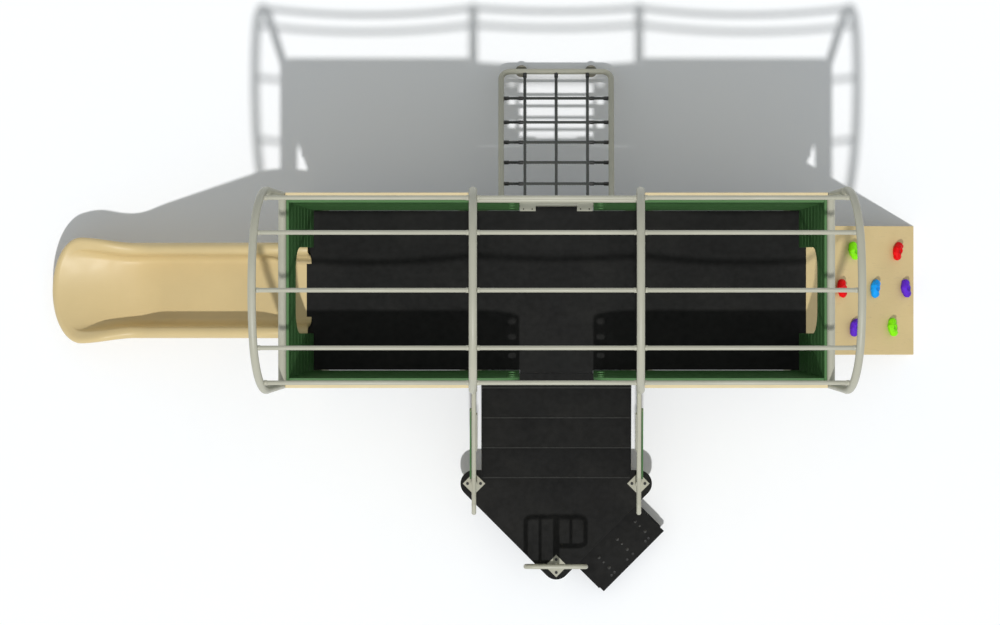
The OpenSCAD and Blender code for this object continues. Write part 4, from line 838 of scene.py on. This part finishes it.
def make_wall_bolts():
    outer, inner = [], []
    for sx in (-1, 1):
        for sy in (-1, 1):
            away = Vector((0, sy * math.cos(LEG_TILT), -math.sin(LEG_TILT)))
            for up in OUTER_UPS:
                at_end = END_HOOP_X + up * math.tan(END_LEAN) - FROM_END
                outer.append((on_wall(sx, sy, MID_HOOP_X + FROM_MID, OUTER_FACE, up), away))
                outer.append((on_wall(sx, sy, at_end, OUTER_FACE, up), away))
            for up in INNER_UPS:
                inner.append((on_wall(sx, sy, MID_HOOP_X + FROM_SEAM, INNER_FACE, up), -away))
                inner.append((on_wall(sx, sy, MID_HOOP_X - FROM_SEAM, INNER_FACE, up), -away))
        away = Vector((sx * math.cos(END_LEAN), 0, -math.sin(END_LEAN)))
        for sy in (-1, 1):
            for up in END_UPS:
                inner.append((on_end(sx, INNER_FACE, sy * (leg_y(up) - FROM_LEG), up), -away))
    copies("outer_wall_bolts", dome_bolt(8, 4.5), outer, "bolt_steel")
    copies("inner_wall_bolts", dome_bolt(6.5, 3.8), inner, "bolt_steel")


make_wall_bolts()


# Transfer step: three lines of bolts across it, and a row of dark cups along its front

POST_X, POST_Y, FRONT_Y, STEP_Z = 607.0, 1426.0, 2035.0, 150.0
POST_LINE = math.atan2(FRONT_Y - POST_Y, POST_X)


def on_step(n, u, z):
    """A point of the transfer step: outward from the line of the posts, along it, and height."""
    out = Vector((math.sin(POST_LINE), -math.cos(POST_LINE), 0))
    along = Vector((math.cos(POST_LINE), math.sin(POST_LINE), 0))
    foot = Vector((POST_X / 2, -(POST_Y + FRONT_Y) / 2, z)) + out * n + along * u
    return at(*foot)


def make_step_bolts():
    lines, cups_at = (-162, 28.5, 215), (-190, -159, -27, 33, 165, 196)
    big_rows, small_row, cup_row = (180, 285), 228, 339
    big = [(on_step(n, u, STEP_Z), UP) for u in lines for n in big_rows]
    small = [(on_step(small_row, u, STEP_Z), UP) for u in lines]
    cups = [(on_step(cup_row, u, STEP_Z), UP) for u in cups_at]
    copies("step_bolts", dome_bolt(9, 6), big, "bolt_steel")
    copies("step_pins", dome_bolt(5.5, 3.5, False), small, "bolt_steel")
    profile = [(8, -0.5), (10, -0.5), (10, 1.6), (9.2, 2.2), (7.2, 2.2), (6.4, 0.4), (0.8, 0.4)]
    repaint(copies("step_cups", turned(profile, BOLT_SIDES), cups, "ferrule"), "dark_bolt")


make_step_bolts()


# Flange bolts: four on the plate of each rail post

FLANGE_TOP, FLANGE_BOLT_AT = 308.6, 48


def make_flange_bolts():
    """Dark six-sided bolts with washers on the rail posts' plates."""
    verts, faces = turned([(6, -9), (6, 0), (11, 0), (11, 1.8), (10.2, 2.4), (6, 2.4)], BOLT_SIDES)
    base = len(verts)
    for radius, height in ((9.6, 2.4), (9.6, 7.6), (8.2, 8.6)):
        for a in np.arange(6) * math.pi / 3:
            verts.append(Vector((radius * math.cos(a), radius * math.sin(a), height)))
    for ring in (base, base + 6):
        for k in range(6):
            n = (k + 1) % 6
            faces.append([ring + k, ring + n, ring + 6 + n, ring + 6 + k])
    faces.append([base + 12 + k for k in range(6)])
    places = []
    for x, y in ((-POST_X, -POST_Y), (POST_X, -POST_Y), (0, -FRONT_Y)):
        for dx, dy in ((1, 0), (0, 1), (-1, 0), (0, -1)):
            places.append((at(x + dx * FLANGE_BOLT_AT, y + dy * FLANGE_BOLT_AT, FLANGE_TOP), UP))
    made = copies("post_bolts", (verts, faces), places, "bolt_steel", ("flange_bolts",))
    made.data.shade_flat()
    repaint(made, "dark_bolt")


make_flange_bolts()


# Stair nosings: a bead along each front, painted paler as a highlight

LANDING_Y, GOING, PLATFORM_Z, STAIR_HALF = 721.0, 221.33, 300.0, 552.0
STEPS = 4
RISE = (DECK_Z - PLATFORM_Z) / STEPS
LANDING_IN, TREAD_IN = 1.5, 9.5  # how far the beads end inside the stair's half width


def make_nosings():
    shape = [(3.2, -3.0), (3.2, 0.0), (2.6, 1.6), (1.2, 2.6), (-0.8, 3.0), (-7.0, 3.0), (-8.2, 2.4),
             (-9.0, 0.2), (-9.0, -3.0)]
    verts, faces = [], []
    for k in range(STEPS):
        front = LANDING_Y + GOING * k
        top = DECK_Z - RISE * k
        half = STAIR_HALF - (LANDING_IN if k == 0 else TREAD_IN)
        base, n = len(verts), len(shape)
        for x in (-half, half):
            verts += [at(x, -(front + out - 3.0), top + up) for out, up in shape]
        for i in range(n):
            j = (i + 1) % n
            faces.append([base + i, base + j, base + n + j, base + n + i])
        faces += [[base + i for i in range(n)][::-1], [base + n + i for i in range(n)]]
    # The beads carry the paler coating: a painted highlight along the nosings.
    repaint(piece("nosing_beads", verts, faces, "deck_coating", smooth=False), "nosing")


make_nosings()


# Weld sleeves where the canopy bars meet the hoops

def bar_ends(node):
    """The ends of a node's bars: middle of each end's last 12 mm and the direction into the bar."""
    points = np.array([v.co for v in NODES[node].data.vertices])
    out = []
    x = (points[:, 0] - MIDDLE.x) * 1000
    y = (points[:, 1] - MIDDLE.y) * 1000
    for row in (y < -50, abs(y) <= 50, y > 50):
        for bay in (x < -MID_HOOP_X, abs(x) < MID_HOOP_X, x > MID_HOOP_X):
            bar = points[row & bay]
            if not len(bar):
                continue
            for s in (-1, 1):
                reach = s * bar[:, 0]
                tip = bar[reach > reach.max() - 0.012].mean(0)
                inner = bar[(reach < reach.max() - 0.06) & (reach > reach.max() - 0.16)]
                if len(inner) > 8:
                    out.append((Vector(tip), Vector(inner.mean(0) - tip)))
    return out


def make_sleeves():
    places = []
    for node in ("canopy_ridge_bar", "canopy_upper_bars", "canopy_lower_bars"):
        places += [(p + d.normalized() * 0.004, d) for p, d in bar_ends(node)]
    sleeve = turned([(16.6, -4), (18.6, -4), (19.2, -3), (19.2, 15), (18.4, 17), (16.6, 18)], 28)
    copies("bar_sleeves", sleeve, places, "tube_paint")


make_sleeves()


# Floor, light and world

FLOOR_HALF, FLOOR_COLOUR, FLOOR_GLOW = 300, (0.96, 0.965, 0.975, 1), 0.02
SKY_COLOUR, SEEN_COLOUR = (0.40, 0.425, 0.44, 1), (1, 1, 1, 1)
SUN_TILT, SUN_ENERGY, SUN_ANGLE = math.radians(27.7), 2.2, math.radians(1.5)


def make_floor():
    mesh = bpy.data.meshes.new("floor")
    corners = [(x * FLOOR_HALF, y * FLOOR_HALF, 0) for x, y in ((-1, -1), (1, -1), (1, 1), (-1, 1))]
    mesh.from_pydata(corners, [], [(0, 1, 2, 3)])
    floor = bpy.data.objects.new("floor", mesh)
    bpy.context.scene.collection.objects.link(floor)
    material = bpy.data.materials.new("floor_white")
    material.use_nodes = True
    tree = material.node_tree
    tree.nodes.clear()
    paint = tree.nodes.new("ShaderNodeBsdfDiffuse")
    paint.inputs["Color"].default_value = FLOOR_COLOUR
    glow = tree.nodes.new("ShaderNodeEmission")
    glow.inputs["Color"].default_value = (1, 1, 1, 1)
    path = tree.nodes.new("ShaderNodeLightPath")
    share = tree.nodes.new("ShaderNodeMath")
    share.operation = "MULTIPLY"
    tree.links.new(path.outputs["Is Camera Ray"], share.inputs[0])
    share.inputs[1].default_value = FLOOR_GLOW
    tree.links.new(share.outputs[0], glow.inputs["Strength"])
    both = tree.nodes.new("ShaderNodeAddShader")
    tree.links.new(paint.outputs[0], both.inputs[0])
    tree.links.new(glow.outputs[0], both.inputs[1])
    out = tree.nodes.new("ShaderNodeOutputMaterial")
    tree.links.new(both.outputs[0], out.inputs["Surface"])
    mesh.materials.append(material)


def make_light():
    sun = bpy.data.objects.new("sun", bpy.data.lights.new("sun", "SUN"))
    bpy.context.scene.collection.objects.link(sun)
    sun.rotation_euler = (SUN_TILT, 0, 0)
    sun.data.energy = SUN_ENERGY
    sun.data.angle = SUN_ANGLE
    world = bpy.data.worlds.new("world")
    bpy.context.scene.world = world
    world.use_nodes = True
    tree = world.node_tree
    background = tree.nodes["Background"]
    path = tree.nodes.new("ShaderNodeLightPath")
    seen = path.outputs["Is Camera Ray"]
    for ray in ("Is Glossy Ray", "Is Transmission Ray"):
        add = tree.nodes.new("ShaderNodeMath")
        add.operation = "MAXIMUM"
        tree.links.new(seen, add.inputs[0])
        tree.links.new(path.outputs[ray], add.inputs[1])
        seen = add.outputs[0]
    mix = tree.nodes.new("ShaderNodeMix")
    mix.data_type = "RGBA"
    tree.links.new(seen, mix.inputs["Factor"])
    mix.inputs["A"].default_value = SKY_COLOUR
    mix.inputs["B"].default_value = SEEN_COLOUR
    tree.links.new(mix.outputs["Result"], background.inputs["Color"])
    background.inputs["Strength"].default_value = 1.0


make_floor()
make_light()
bpy.context.scene.view_settings.view_transform = "Standard"
